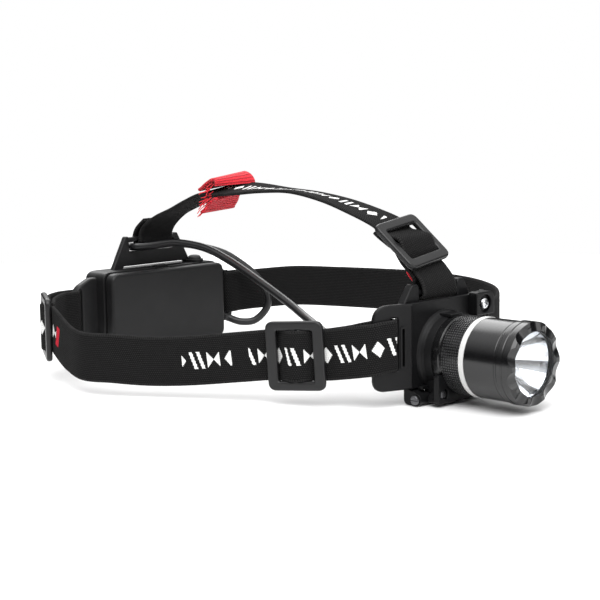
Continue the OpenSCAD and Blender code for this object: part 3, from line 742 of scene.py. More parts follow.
def red_webbing(name, cords_along_path):
    """Loosely woven red tape with raised cords."""
    s = Shade(name, roughness=0.8, specular=0.3)
    s.shader.inputs["Sheen Weight"].default_value = 0.15
    along, across = s.weave_place() if cords_along_path else reversed(s.weave_place())
    wander = s.math("MULTIPLY", s.noise(4, 2), 0.7)
    lines = s.math("MULTIPLY", s.math("ADD", across, wander), math.pi / 1.45)
    cords = s.math("ABSOLUTE", s.math("SINE", lines))
    knots = s.math("ABSOLUTE", s.math("SINE", s.math("MULTIPLY", along, math.pi / 0.9)))
    height = s.math("MULTIPLY", s.math("POWER", cords, 0.6), s.between(knots, 0.65, 1))
    # Colour follows the cords' height: cord tops lighter and the gaps between cords darker, painted
    # shade in the gaps, with random tone from the noise.
    tone = s.math("MULTIPLY", height, s.between(s.noise(0.9, 3), 0.55, 1.15))
    s.set("Base Color", s.mix(tone, (0.20, 0.002, 0.006), (0.86, 0.025, 0.045)))
    s.set("Normal", s.bump(height, 0.35))
    return s.material


def red_thread():
    s = Shade("thread_red_loose", roughness=0.7)
    s.tone(0.8, 2, (0.55, 0.008, 0.015), (0.86, 0.03, 0.05))
    s.grain(0.15, 1, 0.05)
    return s.material


# ---------- materials in use ----------

ANODISED = ((0.003, 0.003, 0.0033), (0.006, 0.006, 0.0065), 0.2, 0.0, 0.5, 0.00004, 0.6)

LOOKS = {
    "base": moulded("plastic_base", (0.004, 0.004, 0.0045), (0.007, 0.007, 0.0075), 0.42, 0.3,
                    0.010, 0.2),
    "box": moulded("plastic_box_black", (0.007, 0.007, 0.0075), (0.011, 0.011, 0.0115), 0.45, 0.3,
                   0.015, 0.34),
    "buckle": moulded("plastic_buckle", (0.007, 0.007, 0.0075), (0.012, 0.012, 0.0125), 0.36, 0.4,
                      0.010, 0.4),
    "body": machined("anodised_black", *ANODISED),
    # Knurl cells: the same black anodising as the sleeve, made several times lighter as a painted
    # highlight where the cells catch light.
    "knurl": machined("anodised_knurl_painted_highlight", (0.022, 0.022, 0.023), (0.036, 0.036, 0.037), 0.3, 0.0,
                      0.25, 0.001, 0.8),
    "bezel": machined("anodised_bezel", *ANODISED),
    "bare": machined("aluminium_bare", (0.62, 0.63, 0.64), (0.74, 0.75, 0.76), 0.3, 1.0),
    "steel": metal("steel_bright", (0.55, 0.56, 0.58), (0.78, 0.79, 0.80), 0.25),
    # Darker steel: used for the hinge screws and switch, and as painted shade on the leaf screw.
    "dark_steel_and_shade": metal("steel_dark", (0.10, 0.10, 0.105), (0.2, 0.2, 0.21), 0.4),
    "brass": metal("brass_contact", (0.60, 0.44, 0.16), (0.78, 0.62, 0.28), 0.3),
    "rubber": rubbery("rubber_black", (0.006, 0.006, 0.0065), 0.55, 0.4, 0.02),
    "lead": rubbery("lead_jacket", (0.004, 0.004, 0.0045), 0.34, 0.8, 0.012, 0.6),
    "wire": rubbery("wire_red", (0.30, 0.012, 0.012), 0.4, 0.6, 0.02),
    "foam": foam(), "board": board(), "cell": wrapped_cell(), "phosphor": phosphor(),
    "white": glow_white(), "mirror": mirror(), "lens": clear_lens(),
    "tape": red_webbing("tape_red", True), "tag": red_webbing("tape_red_folded", False),
    "thread": red_thread(),
}


# ---------- lamp ----------

# The visible plate and its lug reach this much further along +X than the CAD plate
PLATE_OVERHANG = 1.2
# X and Z of the lug's screw
LUG_SCREW = (25.2, 15.5)


def plate_face():
    right = PLATE_RIGHT + PLATE_OVERHANG
    corners = [(PLATE_LEFT, -PLATE_HALF_HEIGHT), (right, -PLATE_HALF_HEIGHT),
               (right, PLATE_HALF_HEIGHT), (PLATE_LEFT, PLATE_HALF_HEIGHT)]
    face = plate([fillet(corners, [1.5, 3, 1.2, 0.6])], -97.2, FRONT_Y, 0.45)
    ledge = block((-4.5, -108.2, 12.4), (4.0, FRONT_Y + 0.3, 13.7), 0.3)
    piece("tilt_face", [face, ledge], LOOKS["base"], "lamp", ["tilt_plate"])


def barrel_collar():
    """Cove that joins the barrel to the plate."""
    cove = [(17.0, -0.6), (20.6, -0.6), (20.5, 0.1), (19.7, 0.5), (18.9, 1.3), (18.4, 2.6),
            (18.15, 4.4), (17.9, 6.4), (17.0, 6.4)]
    piece("barrel_collar", turned(cove, 0.1), LOOKS["base"], "lamp")


def corner_lug():
    right = PLATE_RIGHT + PLATE_OVERHANG
    outline = fillet([(18.4, 10.2), (right, 10.2), (right, 21.4), (18.4, 21.4)],
                     [0.8, 0.8, 4.3, 1.8], 8)
    body = plate([outline], FRONT_Y + 0.1, -103.6, 0.5)
    rim = plate([outline, circle(*LUG_SCREW, 4.4)], -103.0, -105.4, 0.6)
    piece("corner_lug", [body, rim], LOOKS["base"], "lamp")


def hinge_leaf():
    leaf = plate([fillet([(-20, -26.7), (20, -26.7), (20, -13), (-20, -13)], [1.6, 2.4, 1, 1]),
                  fillet([(-17.6, -23.8), (-13.2, -24.6), (-12.6, -21.2), (-14.4, -19.4),
                          (-15.6, -20.6), (-17.8, -20.8)], 0.9)], -110, -113, 0.5)
    leaf = carve(leaf, [rod((0, -90, LAMP_Z), (0, -120, LAMP_Z), 18.25, 0.0, 96)])
    backing = block((-18.6, -111.4, -25.4), (-11.4, -110.4, -18.4))
    web = plate([fillet([(-19.6, -26.4), (19.6, -26.4), (18.6, -23.4), (12.4, -18.6),
                         (-12.4, -18.6), (-18.6, -23.4)], [0.8, 0.8, 3, 1, 1, 3])],
                -105.8, -110.6, 0.4)
    tongue = plate([rectangle(-14.5, 14.5, -26.7, -16.5, 1.0)], FRONT_Y + 0.4, -110.4, 0.5)
    shoulder = block((-19, -102.6, -21.0), (19, -99.9, -19.4), 0.3)
    eyes = [carve(rod((x, TILT_Y, TILT_Z), (x + 5.9, TILT_Y, TILT_Z), 2.9, 0.4),
                  [rod((x - 1, TILT_Y, TILT_Z), (x + 7, TILT_Y, TILT_Z), 1.5, 0.0)])
            for x in (-14.5, 8.6)]
    piece("hinge_leaf", [leaf, backing, web, tongue, shoulder] + eyes, LOOKS["base"], "lamp")


def cross_screw(name, node, at, radius, height, shank, length, material):
    """Pan-head screw of the lamp with a cross recess, facing along the beam."""
    dome = [(0, -length), (shank, -length), (shank, 0), (radius, 0)]
    dome += [(radius * math.cos(a), height * 0.35 + height * 0.65 * math.sin(a))
             for a in (0.0, 0.35, 0.7, 1.05, 1.35)] + [(0, height)]
    head = lathe_mesh(dome, at, BEAM, 48)
    top = at[1] - height
    arm, deep = radius * 0.62, height * 0.6
    cutters = []
    for lean in (0.4, 0.4 + math.pi / 2):
        blade = block((-arm, -deep, -0.42), (arm, deep, 0.42))
        blade.transform(Matrix.Translation((at[0], top, at[2])) @ Matrix.Rotation(lean, 4, "Y"))
        cutters.append(blade)
    piece(name, carve(head, cutters), material, "lamp", [node], sharp=40)


def lamp_screws():
    x, z = LUG_SCREW
    cross_screw("screw_lug", "lug_screw", (x, FRONT_Y - 3.6, z), 2.8, 2.1, 1.5, 2.9, LOOKS["steel"])
    # The leaf screw takes the dark steel as painted shade: it sits in the shadow of its recess.
    cross_screw("screw_leaf", "leaf_screw", (-15.2, -111.6, -22.6), 2.1, 0.9, 1.2, 1.7,
                LOOKS["dark_steel_and_shade"])


def knurled_band(d0, d1, low, high, around, rows):
    """Square knurl: raised flat-topped cells on a sleeve."""
    verts, faces = [], []
    pitch, turn = (d1 - d0) / rows, 2 * math.pi / around
    for row in range(rows):
        for k in range(around):
            first = len(verts)
            for radius, inset in ((low, 0.12), (high, 0.26)):
                for i, j in ((0, 0), (1, 0), (1, 1), (0, 1)):
                    a = (k + inset + i * (1 - 2 * inset)) * turn
                    d = d0 + (row + inset + j * (1 - 2 * inset)) * pitch
                    verts.append(LAMP_POINT + BEAM * d
                                 + Vector((math.cos(a), 0, math.sin(a))) * radius)
            b = first + 4
            faces.append((b, b + 1, b + 2, b + 3))
            for i in range(4):
                j = (i + 1) % 4
                faces.append((first + i, first + j, b + j, b + i))
    mesh = bpy.data.meshes.new("knurl")
    mesh.from_pydata(verts, [], faces)
    return weld(mesh)


def bezel_grooves(count=10, radius=7.0, depth=1.7):
    """Round cutters lying across the bezel's front rim, one for each groove of its crown."""
    across, outward = Vector((0.97, 0, -0.24)), Vector((0.24, 0, 0.97))
    middle = Vector((17.4, 0, 53.6)) + outward * (radius - depth)
    cutters = []
    for k in range(count):
        turn = Matrix.Rotation(2 * math.pi * (k + 0.5) / count, 4, "Y")
        ends = []
        for reach in (-6, 6):
            p = middle + across * reach
            ends.append(LAMP_POINT + turn @ Vector((p.x, -p.z, 0)))
        cutters.append(rod(ends[0], ends[1], radius, 0.0, 64))
    return cutters


def dense(profile, spacing=0.35):
    """The same outline with more points, so that a cutter meets small faces."""
    out = []
    for a, b in zip(profile, profile[1:] + profile[:1]):
        steps = max(1, int(math.hypot(b[0] - a[0], b[1] - a[1]) / spacing))
        out += [(a[0] + (b[0] - a[0]) * k / steps, a[1] + (b[1] - a[1]) * k / steps)
                for k in range(steps)]
    return out


def barrel_pieces():
    barrel = turned([(2.2, 0), (17.8, 0), (17.8, 7.2), (18.2, 7.9), (18.2, 10.8), (17.8, 11.1),
                     (17.8, 13.2), (18.1, 13.3), (18.1, 15.5), (16.6, 15.5),
                     (16.6, 34), (14.6, 34), (14.6, 3), (2.2, 3)], 0.25)
    piece("barrel_rear", barrel, LOOKS["body"], "lamp", ["rear_barrel"])
    sleeve = turned([(16.6, 15.6), (18.15, 15.6), (18.15, 23.4), (16.6, 23.4)], 0.1)
    cells = knurled_band(13.0, 23.4, 18.0, 18.75, 90, 8)
    piece("knurl_sleeve", sleeve, LOOKS["body"], "lamp", ["knurled_ring"])
    piece("knurl_cells", cells, LOOKS["knurl"], "lamp", sharp=20, flat_faces=False)
    ring = turned([(16.6, 23.5), (19.0, 23.5), (19.1, 23.8), (19.1, 26.0), (19.0, 26.3),
                   (16.6, 26.3)], 0.4)
    piece("ring_glow", ring, LOOKS["white"], "lamp", ["glow_ring"])


def head_pieces():
    head = turned([(16.65, 26.4), (18.7, 26.4), (18.9, 26.6), (18.9, 43.2), (18.65, 43.5),
                   (19.05, 43.9), (19.1, 45), (17, 45), (17, 32.4), (17.9, 32.3), (17.9, 29.7),
                   (16.65, 29.6)], 0.3)
    piece("head_sleeve", head, LOOKS["body"], "focus_head", ["head_barrel"])
    outline = fillet([(17, 45), (19.2, 45), (19.45, 45.4), (19.45, 47.6), (19.2, 47.9),
                      (19.2, 48.3), (19.45, 48.6), (19.45, 52.0), (18.2, 53.6), (15.5, 53.6),
                      (14.9, 52.6), (14.9, 51.9), (16.5, 51.9), (16.5, 48.6), (17, 48.6)],
                     [0.2, 0.3, 0.3, 0.2, 0.1, 0.1, 0.2, 0.6, 0.5, 0.4, 0.3, 0, 0, 0, 0], 3)
    bezel = carve(lathe_mesh(dense(outline), LAMP_POINT, BEAM, 240), bezel_grooves())
    piece("bezel_ring", bezel, LOOKS["bezel"], "focus_head", ["bezel"], sharp=28)
    seal = turned([(14.9, 50.5), (16.4, 50.5), (16.4, 51.85), (14.9, 51.85)], 0.3)
    piece("seal_ring", seal, LOOKS["rubber"], "focus_head", ["lens_seal"])


def lens_piece():
    """Clear window with a slightly crowned front."""
    lens = [(0, 50.6)] + [(16.3 * k / 12, 50.6 - 0.12 * (k / 12) ** 2) for k in range(1, 13)]
    lens += [(16.4, 50.3), (16.4, 48.9), (16.3, 48.8), (0, 48.8)]
    piece("lens_window", lathe_mesh(lens, LAMP_POINT, BEAM, 128), LOOKS["lens"], "focus_head", ["lens"])


def oring_piece():
    oring = lathe_mesh([(17.25 + 0.62 * math.cos(t * math.pi / 8),
                         31 + 0.62 * math.sin(t * math.pi / 8)) for t in range(16)],
                       LAMP_POINT, BEAM, 96)
    piece("oring_head", oring, LOOKS["rubber"], "focus_head", ["head_oring"])


def reflector_piece():
    """Deep mirror bowl, a paraboloid, with its flange."""
    narrow, wide, back, depth, steps = 4.0, 16.1, 35.2, 13.4, 32
    inner = []
    for k in range(steps + 1):
        x = narrow + (wide - narrow) * k / steps
        inner.append((x, back + depth * (x * x - narrow ** 2) / (wide ** 2 - narrow ** 2)))
    outer = [(x + 0.8, d - 0.7) for x, d in reversed(inner[:-1])]
    profile = inner + [(16.9, 48.6), (16.9, 47.9)] + outer
    piece("reflector_bowl", lathe_mesh(profile, LAMP_POINT, BEAM, 160), LOOKS["mirror"], "focus_head",
          ["reflector"])


def led_pieces():
    board = turned([(0, 30.6), (8, 30.6), (8, 32), (0, 32)], 0.15, 96)
    pads = [block((x - 1.2, FRONT_Y - 32.1, LAMP_Z - 1.1), (x + 1.2, FRONT_Y - 31.9, LAMP_Z + 1.1),
                  0.05) for x in (-5.4, 5.4)]
    piece("board_led", board, LOOKS["white"], "lamp", ["led_board"])
    piece("pads_led", pads, LOOKS["brass"], "lamp")
    base = block((-2.5, FRONT_Y - 32.9, LAMP_Z - 2.5), (2.5, FRONT_Y - 32.0, LAMP_Z + 2.5), 0.2)
    dome = [(0, 32.8), (1.8, 32.8)] + [(1.8 * math.cos(a), 32.9 + 1.8 * math.sin(a))
                                       for a in (0.2, 0.5, 0.8, 1.1, 1.35)] + [(0, 34.7)]
    piece("emitter_led", [base, lathe_mesh(dome, LAMP_POINT, BEAM, 48)], LOOKS["phosphor"], "lamp",
          ["led_emitter"])


# ---------- base ----------

def ear(hinge_x, hinge_y, tip_x, tip_y, thickness, loops):
    """Bent strap ear: a plate in its own plane, from the hinge line out to the tip."""
    outward = Vector((tip_x - hinge_x, tip_y - hinge_y, 0)).normalized()
    normal = outward.cross(UP)
    if normal.y > 0:
        normal = -normal
    centre = Vector((hinge_x, hinge_y, 0)) - normal * thickness / 2
    return prism(loops, thickness, 0.9, (outward, UP, outward.cross(UP)), centre, 4)


def left_ear():
    left = [fillet([(-1.5, -20.2), (19.2, -20.2), (19.2, 20.2), (-1.5, 20.2)],
                   [0.5, 6, 8.5, 0.5], 10),
            rectangle(6.2, 10.0, -10.9, 13.9, 0.8)]
    wing = ear(-24.75, FRONT_Y, -42.8, -93.4, 3.0, left)
    groove = [plate([rectangle(-28.7, -27.3, -9, 9, 0.68)], -97.4, -101.5, 0.1)]
    wing = carve(wing, groove)
    lip = ear(-24.75, FRONT_Y, -42.8, -93.4, 0.9, [rectangle(2.3, 5.4, -9.8, 9.8, 1.5),
                                                   rectangle(3.1, 4.6, -9.1, 9.1, 0.7)])
    lip.transform(Matrix.Translation((-0.08, -0.22, 0)))
    piece("ear_left", [wing, lip], LOOKS["base"], "headset", ["base_plate"])


def right_ear():
    right = [fillet([(-1.2, -20.2), (16.8, -20.2), (16.8, 20.2), (-1.2, 20.2)],
                    [0.5, 6, 8.5, 0.5], 10),
             rectangle(6.8, 10.6, -13, 13, 0.8)]
    piece("ear_right", ear(31.15, FRONT_Y, 44.3, -89.6, 3.0, right), LOOKS["base"], "headset")


def base_core():
    """Flat middle of the base, with openings under the top bar and for the detent spring."""
    core = plate([rectangle(-28.6, 33.6, -20.0, 20.0, 3)], -94.0, -96.9, 0.4)
    core = carve(core, [block((-13.9, -99, 18.2), (13.9, -90, 22)),
                        block((-17, -98, -8.5), (6, -92, -2.5))])
    piece("base_core", core, LOOKS["base"], "headset")


def front_bracket():
    """Two legs and the bar that holds the top strap."""
    legs = []
    for side, lean in ((1, 7), (-1, 5)):
        outline = [(-20 - lean, 17), (-14, 17), (-14, 26.6), (-15.2, 28.2), (-18.6, 28.2),
                   (-20.4, 26.4)]
        if side < 0:
            outline = [(-x, z) for x, z in outline][::-1]
        legs.append(plate([fillet(outline, 1.6)], -92.4, -96.8, 0.8))
    bar = rod((-15, -94.6, 23.6), (15, -94.6, 23.6), 1.5, 0.1)
    piece("bracket_front", legs + [bar], LOOKS["base"], "headset")


def hinge_knuckles():
    """Fixed half of the tilt hinge, and the socket that the lead's gland sits in."""
    knuckles = []
    for x0, x1 in ((-23, -15), (15, 23)):
        knuckles.append(rod((x0, TILT_Y, TILT_Z), (x1, TILT_Y, TILT_Z), 2.9, 0.5))
        arm = [(-102, -28.1), (-94.2, -28.1), (-94.2, -15), (-96.9, -15), (-97.1, -20.4),
               (-99.6, -21.2), (-102, -22.4)]
        axes = ((0, 1, 0), (0, 0, 1), (1, 0, 0))
        knuckles.append(prism([fillet(arm, [0.2, 2.6, 1, 0.5, 0.2, 0.2, 0.2])], x1 - x0, 0.5, axes,
                              Vector(((x0 + x1) / 2, 0, 0))))
    piece("hinge_knuckles", knuckles, LOOKS["base"], "headset")
    socket = block((-22.8, -94.5, -4.2), (-18, -85.6, 4.2), 0.6)
    piece("gland_socket", socket, LOOKS["base"], "headset")


def hinge_screws():
    for hand, sign in (("left", -1), ("right", 1)):
        profile = fillet([(0, 0), (2.3, 0), (2.3, 1.3), (1.25, 1.5), (1.25, 16), (0, 16)],
                         [0, 0.5, 0.1, 0.1, 0.3, 0], 3)
        x = sign * 24.6
        screw = lathe_mesh(profile, (x, TILT_Y, TILT_Z), (-sign, 0, 0), 40)
        slot = block((x - 0.6, TILT_Y - 3, TILT_Z - 0.35), (x + 0.6, TILT_Y + 3, TILT_Z + 0.35))
        piece("screw_hinge_" + hand, carve(screw, [slot]), LOOKS["dark_steel_and_shade"], "headset",
              ["hinge_screw_" + hand])


def forehead_pad():
    """Foam pad, crowned, with a curved back that follows the forehead."""
    bm = bmesh.new()
    columns, rows, low, high = 28, 22, (-17.6, -18.0), (30.0, 17.0)
    front, deepest, thinnest, head_radius = -94.0, 5.8, 0.8, 101.0
    grid = {}
    for face, lift in (("front", 0), ("back", 1)):
        for i in range(columns + 1):
            for j in range(rows + 1):
                u, v = 2 * i / columns - 1, 2 * j / rows - 1
                squeeze = 1 - 0.06 * (abs(u) ** 6 + abs(v) ** 6) * (abs(u * v))
                x = (low[0] + high[0]) / 2 + (high[0] - low[0]) / 2 * u * squeeze
                z = (low[1] + high[1]) / 2 + (high[1] - low[1]) / 2 * v * squeeze
                roundness = max(0.0, 1 - max(abs(u), abs(v)) ** 8) ** 0.5
                back = -math.sqrt(head_radius ** 2 - (x - 6) ** 2) + 12.0
                crown = max(thinnest, min(back - front, deepest) * roundness)
                y = front + lift * crown
                grid[face, i, j] = bm.verts.new((x, y, z))
    for i in range(columns):
        for j in range(rows):
            a, b, c, d = (("front", i, j), ("front", i, j + 1), ("front", i + 1, j + 1),
                          ("front", i + 1, j))
            bm.faces.new([grid[k] for k in (d, c, b, a)])
            bm.faces.new([grid["back", k[1], k[2]] for k in (a, b, c, d)])
    rim = ([(i, 0) for i in range(columns)] + [(columns, j) for j in range(rows)]
           + [(i, rows) for i in range(columns, 0, -1)] + [(0, j) for j in range(rows, 0, -1)])
    for (i, j), (m, n) in zip(rim, rim[1:] + rim[:1]):
        bm.faces.new([grid["front", i, j], grid["front", m, n], grid["back", m, n],
                      grid["back", i, j]])
    mesh = bpy.data.meshes.new("pad")
    bm.to_mesh(mesh)
    bm.free()
    pad = piece("pad_foam", weld(mesh), LOOKS["foam"], "headset", ["forehead_pad"], sharp=80,
                flat_faces=False)


# ---------- battery box ----------

def box_outline(inset, r):
    """Outline of the battery box from the front, less the inset all round."""
    return rectangle(BOX_X - BOX_HALF_WIDTH + inset, BOX_X + BOX_HALF_WIDTH - inset,
                     BOX_Z - BOX_HALF_HEIGHT + inset, BOX_Z + BOX_HALF_HEIGHT - inset, r)


def box_block(x0, x1, z0, z1, y0, y1, edge=0.0):
    """Block placed from the middle of the cover's outer face."""
    return block((BOX_X + x0, BOX_Y + y0, BOX_Z + z0), (BOX_X + x1, BOX_Y + y1, BOX_Z + z1), edge)


def hinge_eye(x):
    bottom = BOX_Z - BOX_HALF_HEIGHT
    return rod((BOX_X + x, BOX_Y + 5.2, bottom - 2.2), (BOX_X + x + 6, BOX_Y + 5.2, bottom - 2.2),
               2.3, 0.3)


def cover_pieces():
    slab = plate([box_outline(0.6, 5.2)], BOX_Y, BOX_Y + COVER_DEPTH, 1.9, 5)
    cavity = plate([rectangle(BOX_X - 34, BOX_X + 34, BOX_Z - 19, BOX_Z + 19, 3)], BOX_Y + 1.8,
                   BOX_Y + 9, 0.1)
    notch = box_block(-5, 5, BOX_HALF_HEIGHT - 4, BOX_HALF_HEIGHT + 1, COVER_DEPTH - 2.6,
                  COVER_DEPTH + 1)
    shape = carve(slab, [cavity, notch])
    arms = []
    for x in (-23.8, 17.6):
        arms += [hinge_eye(x), box_block(x, x + 6, -BOX_HALF_HEIGHT - 2.2, -BOX_HALF_HEIGHT + 2, 3.4,
                                     COVER_DEPTH, 0.3)]
    piece("cover_panel", shape, LOOKS["box"], "cover", ["box_cover"])
    piece("cover_hinge_arms", arms, LOOKS["box"], "cover")


def box_shell():
    """Tray that holds the two cells, with four grooves across its back."""
    front = plate([box_outline(0, 5)], BOX_Y + COVER_DEPTH + 0.2, BOX_Y + 16, 0.5)
    rear = plate([box_outline(0, 6)], BOX_Y + 11, BOX_Y + BOX_DEPTH, 3.2, 5)
    cutters = [rod((BOX_X - 33.4, BOX_Y + 15.2, BOX_Z + z), (BOX_X + 33.4, BOX_Y + 15.2,
                                                             BOX_Z + z), 9.5, 0.0, 64)
               for z in (-10, 10)]
    cutters += [box_block(-33.4, 33.4, -18.6, 18.6, COVER_DEPTH - 1, 15.2),
                box_block(33.2, 38.8, -15, 15, COVER_DEPTH - 1, 20),
                box_block(-38.8, -33.2, -15, 15, COVER_DEPTH - 1, 20),
                box_block(-4.8, 4.8, BOX_HALF_HEIGHT - 3.4, BOX_HALF_HEIGHT + 1, COVER_DEPTH - 1,
                      COVER_DEPTH + 6.4)]
    for z in (-9, -3, 3, 9):
        cutters.append(plate([rectangle(BOX_X - 22, BOX_X + 22, BOX_Z + z - 0.9, BOX_Z + z + 0.9,
                                        0.85)], BOX_Y + BOX_DEPTH - 0.8, BOX_Y + BOX_DEPTH + 2, 0.1))
    shape = carve(carve(front, [rear], "UNION"), cutters)
    piece("shell_box", shape, LOOKS["box"], "headset", ["box_shell"])


def box_ears():
    """Slotted ears for the head band on both sides of the box."""
    ears = []
    for side in (-1, 1):
        outline = [(59.5, -15.6), (59.5, 6), (54, 14.5), (46, 18.4), (40, 18.4), (40, -15.6)]
        slot = [(52.2, -13), (55.6, -13), (55.6, 13 if side > 0 else 11), (52.2, 13)]
        loops = [fillet([(BOX_X + side * x, z) for x, z in outline], [3, 6, 8, 6, 0.5, 0.5], 6),
                 fillet([(BOX_X + side * x, z) for x, z in slot], 0.8)]
        loops = [loop if signed_area(loop) > 0 else loop[::-1] for loop in loops]
        ears.append(plate(loops, 113.2, 118.2, 1.1, 4))
    piece("strap_ears_box", ears, LOOKS["box"], "headset")


def box_bracket():
    """Loop above the box that holds the top strap."""
    outline = [(-33, 20), (-22.8, 39.6), (-20.2, 39.6), (-20.2, 31), (12.8, 31), (12.8, 39.6),
               (15.4, 39.6), (26, 20), (21.4, 20), (20.6, 22.7), (-24.6, 22.7), (-25.6, 20)]
    bracket = plate([fillet(outline, [0.3, 1.2, 1.2, 1.6, 1.6, 1.2, 1.2, 0.3, 0.3, 1.5, 1.5, 0.3])],
                    114.4, 117.6, 0.7)
    bar = rod((-21.4, 116, 37.6), (14, 116, 37.6), 1.5, 0.1)
    piece("bracket_box", [bracket, bar], LOOKS["box"], "headset")


def shell_hinge_eyes():
    eyes = []
    for x in (-30, 24):
        eyes += [hinge_eye(x), box_block(x, x + 6, -BOX_HALF_HEIGHT - 4.5, -BOX_HALF_HEIGHT + 1, 7.4,
                                     12, 0.4)]
    piece("shell_hinge_eyes", eyes, LOOKS["box"], "headset")


def switch_pieces():
    """Raised ring and the rubber button in it."""
    boss = lathe_mesh(fillet([(4.25, 0), (5.2, 0), (5.2, 3.2), (4.25, 3.2)], 0.35, 3),
                      (26, 112, 20), UP, 64)
    piece("switch_boss", boss, LOOKS["box"], "headset")
    dome = [(0, 0), (4.1, 0)] + [(4.1 * math.cos(a) ** 0.6, 2 + 2.3 * math.sin(a))
                                 for a in (0.0, 0.3, 0.6, 0.9, 1.2, 1.45)] + [(0, 4.3)]
    piece("button_cap", lathe_mesh(dome, (26, 112, 21.2), UP, 64), LOOKS["rubber"], "button",
          ["switch_button"], sharp=60)


def latch_piece():
    """Sliding latch with a ribbed thumb pad."""
    latch = [box_block(-4.6, 4.6, BOX_HALF_HEIGHT - 3.2, BOX_HALF_HEIGHT - 0.6, COVER_DEPTH - 2,
                   COVER_DEPTH + 3.4, 0.3),
             box_block(-4.6, 4.6, BOX_HALF_HEIGHT - 0.8, BOX_HALF_HEIGHT + 0.9, COVER_DEPTH + 0.6,
                   COVER_DEPTH + 3.4, 0.35)]
    latch += [box_block(x - 0.4, x + 0.4, BOX_HALF_HEIGHT + 0.6, BOX_HALF_HEIGHT + 1.2,
                    COVER_DEPTH + 0.9, COVER_DEPTH + 3.1, 0.2) for x in (-3, -1, 1, 3)]
    piece("latch_hook", latch, LOOKS["buckle"], "latch", ["cover_latch"])


# ---------- glands and lead ----------

def gland(name, at, axis, length, base, tip, replaced):
    """Ribbed rubber strain relief."""
    profile = [(LEAD_DIAMETER / 2 - 0.6, 0)]
    ribs = 4
    for k in range(ribs):
        a, b = k / ribs, (k + 0.55) / ribs
        r = base + (tip - base) * a
        profile += [(r, a * length), (r, b * length), (r - 0.55, b * length + 0.1),
                    (r - 0.55, (k + 1) / ribs * length - 0.1)]
    profile += [(tip, length), (LEAD_DIAMETER / 2 - 0.6, length)]
    piece(name, lathe_mesh(fillet(profile, 0.15, 2), at, axis, 48), LOOKS["rubber"], "headset",
          replaced)


def lead_piece():
    points = smooth(LEAD_RUN, 8)
    obj = wire_piece("lead_cable", [points], LEAD_DIAMETER, 6, True, LOOKS["lead"])
    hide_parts("lead")
    length = sum((Vector(b) - Vector(a)).length for a, b in zip(points, points[1:])) * MM


# ---------- straps ----------

def strap_pieces():
    marked = webbing("webbing_marked", [(3, 81), (90, 115.5), (200.5, 209), (213, 231)],
                     red_zone=(196, 200))
    top = webbing("webbing_top", [(58, 182)])
    plain = webbing("webbing_plain")
    for name, run, reference, material, node in (
            ("strap_near", NEAR_RUN, UP, marked, "band_near"),
            ("strap_near_tail", NEAR_TAIL, UP, plain, "band_near_tail"),
            ("strap_rear_left", REAR_LEFT, UP, plain, "band_rear_left"),
            ("strap_far", FAR_RUN, UP, plain, "band_far"),
            ("strap_top_front", TOP_FRONT, LEFT, top, "top_strap_front"),
            ("strap_top_tail", TOP_TAIL, LEFT, plain, "top_strap_tail"),
            ("strap_top_rear", TOP_REAR, LEFT, plain, "top_strap_rear")):
        ribbon(name, run, reference, WEB_WIDTH, WEB_THICKNESS, material, [node])


def tag_pieces():
    upper = [(-1, 44.9, 70.2, -12), (-1, 45.3, 72.0, -9), (-1, 46.8, 73.9, -7),
             (-1, 49.8, 74.6, -7), (-1.1, 53.6, 73.4, -7), (-1.3, 58.0, 70.6, -7),
             (-1.4, 61.6, 68.6, -7)]
    lower = [(-1, 47.6, 65.4, -12), (-1.2, 50.6, 64.4, -11), (-1.5, 54.0, 61.2, -8),
             (-1.8, 57.0, 57.4, -5), (-1.8, 58.8, 56.2, -4)]
    ribbon("tag_upper", upper, LEFT, 25.4, 1.9, LOOKS["tag"], ["strap_tag"], edge_wave=0.5)
    ribbon("tag_lower", lower, LEFT, 25, 1.7, LOOKS["tag"], edge_wave=0.8)
    tack = [(-0.6, -89.4, 30.6, 0), (-1, -88.4, 31.8, 0), (-1, -87.6, 33, 0)]
    ribbon("tack_red", tack, LEFT, 23, 1.1, LOOKS["tape"], ["front_tack"], steps=4)


def loose_threads():
    """Frayed thread ends along the tag's left edge."""
    source = random.Random(11)
    strands = []
    for k in range(26):
        share = k / 25
        start = Vector((-13.2 + source.uniform(-0.3, 2.5), 50 + 7 * share + source.uniform(-2, 2),
                        70.5 - 14 * share + source.uniform(-1.0, 1.0)))
        path = [start]
        heading = Vector((source.uniform(-1.0, -0.1), source.uniform(-0.3, 0.9),
                          source.uniform(-0.9, 0.25))).normalized()
        for _ in range(source.randint(3, 7)):
            heading = (heading + Vector((source.uniform(-0.3, 0.2), source.uniform(-0.2, 0.3),
                                         source.uniform(-0.4, 0.15)))).normalized()
            path.append(path[-1] + heading * source.uniform(0.7, 1.3))
        strands.append(smooth(path, 4))
    wire_piece("tag_threads", strands, 0.48, 2, False, LOOKS["thread"])


def buckle_pieces():
    width, length, thick, window, bar = 33, 29, 3.1, 7.9, 2.4
    side = WEB_WIDTH - 0.4
    loops = [rectangle(-length / 2, length / 2, -width / 2, width / 2, 4.2)]
    for s in (-1, 1):
        middle = s * (bar / 2 + window / 2)
        loops.append(rectangle(middle - window / 2, middle + window / 2, -side / 2, side / 2, 1.0))
    for name, node, (centre, run, outward) in (
            ("slider_near", "buckle_near", NEAR_BUCKLE), ("slider_rear", "buckle_rear", REAR_BUCKLE),
            ("slider_top", "buckle_top", TOP_BUCKLE)):
        across = run.cross(outward).normalized()
        shape = prism(loops, thick, 1.2, (run, across, run.cross(across)),
                      centre + outward * 0.35, 5)
        piece(name, shape, LOOKS["buckle"], "headset", [node])


# ---------- carried-over nodes ----------

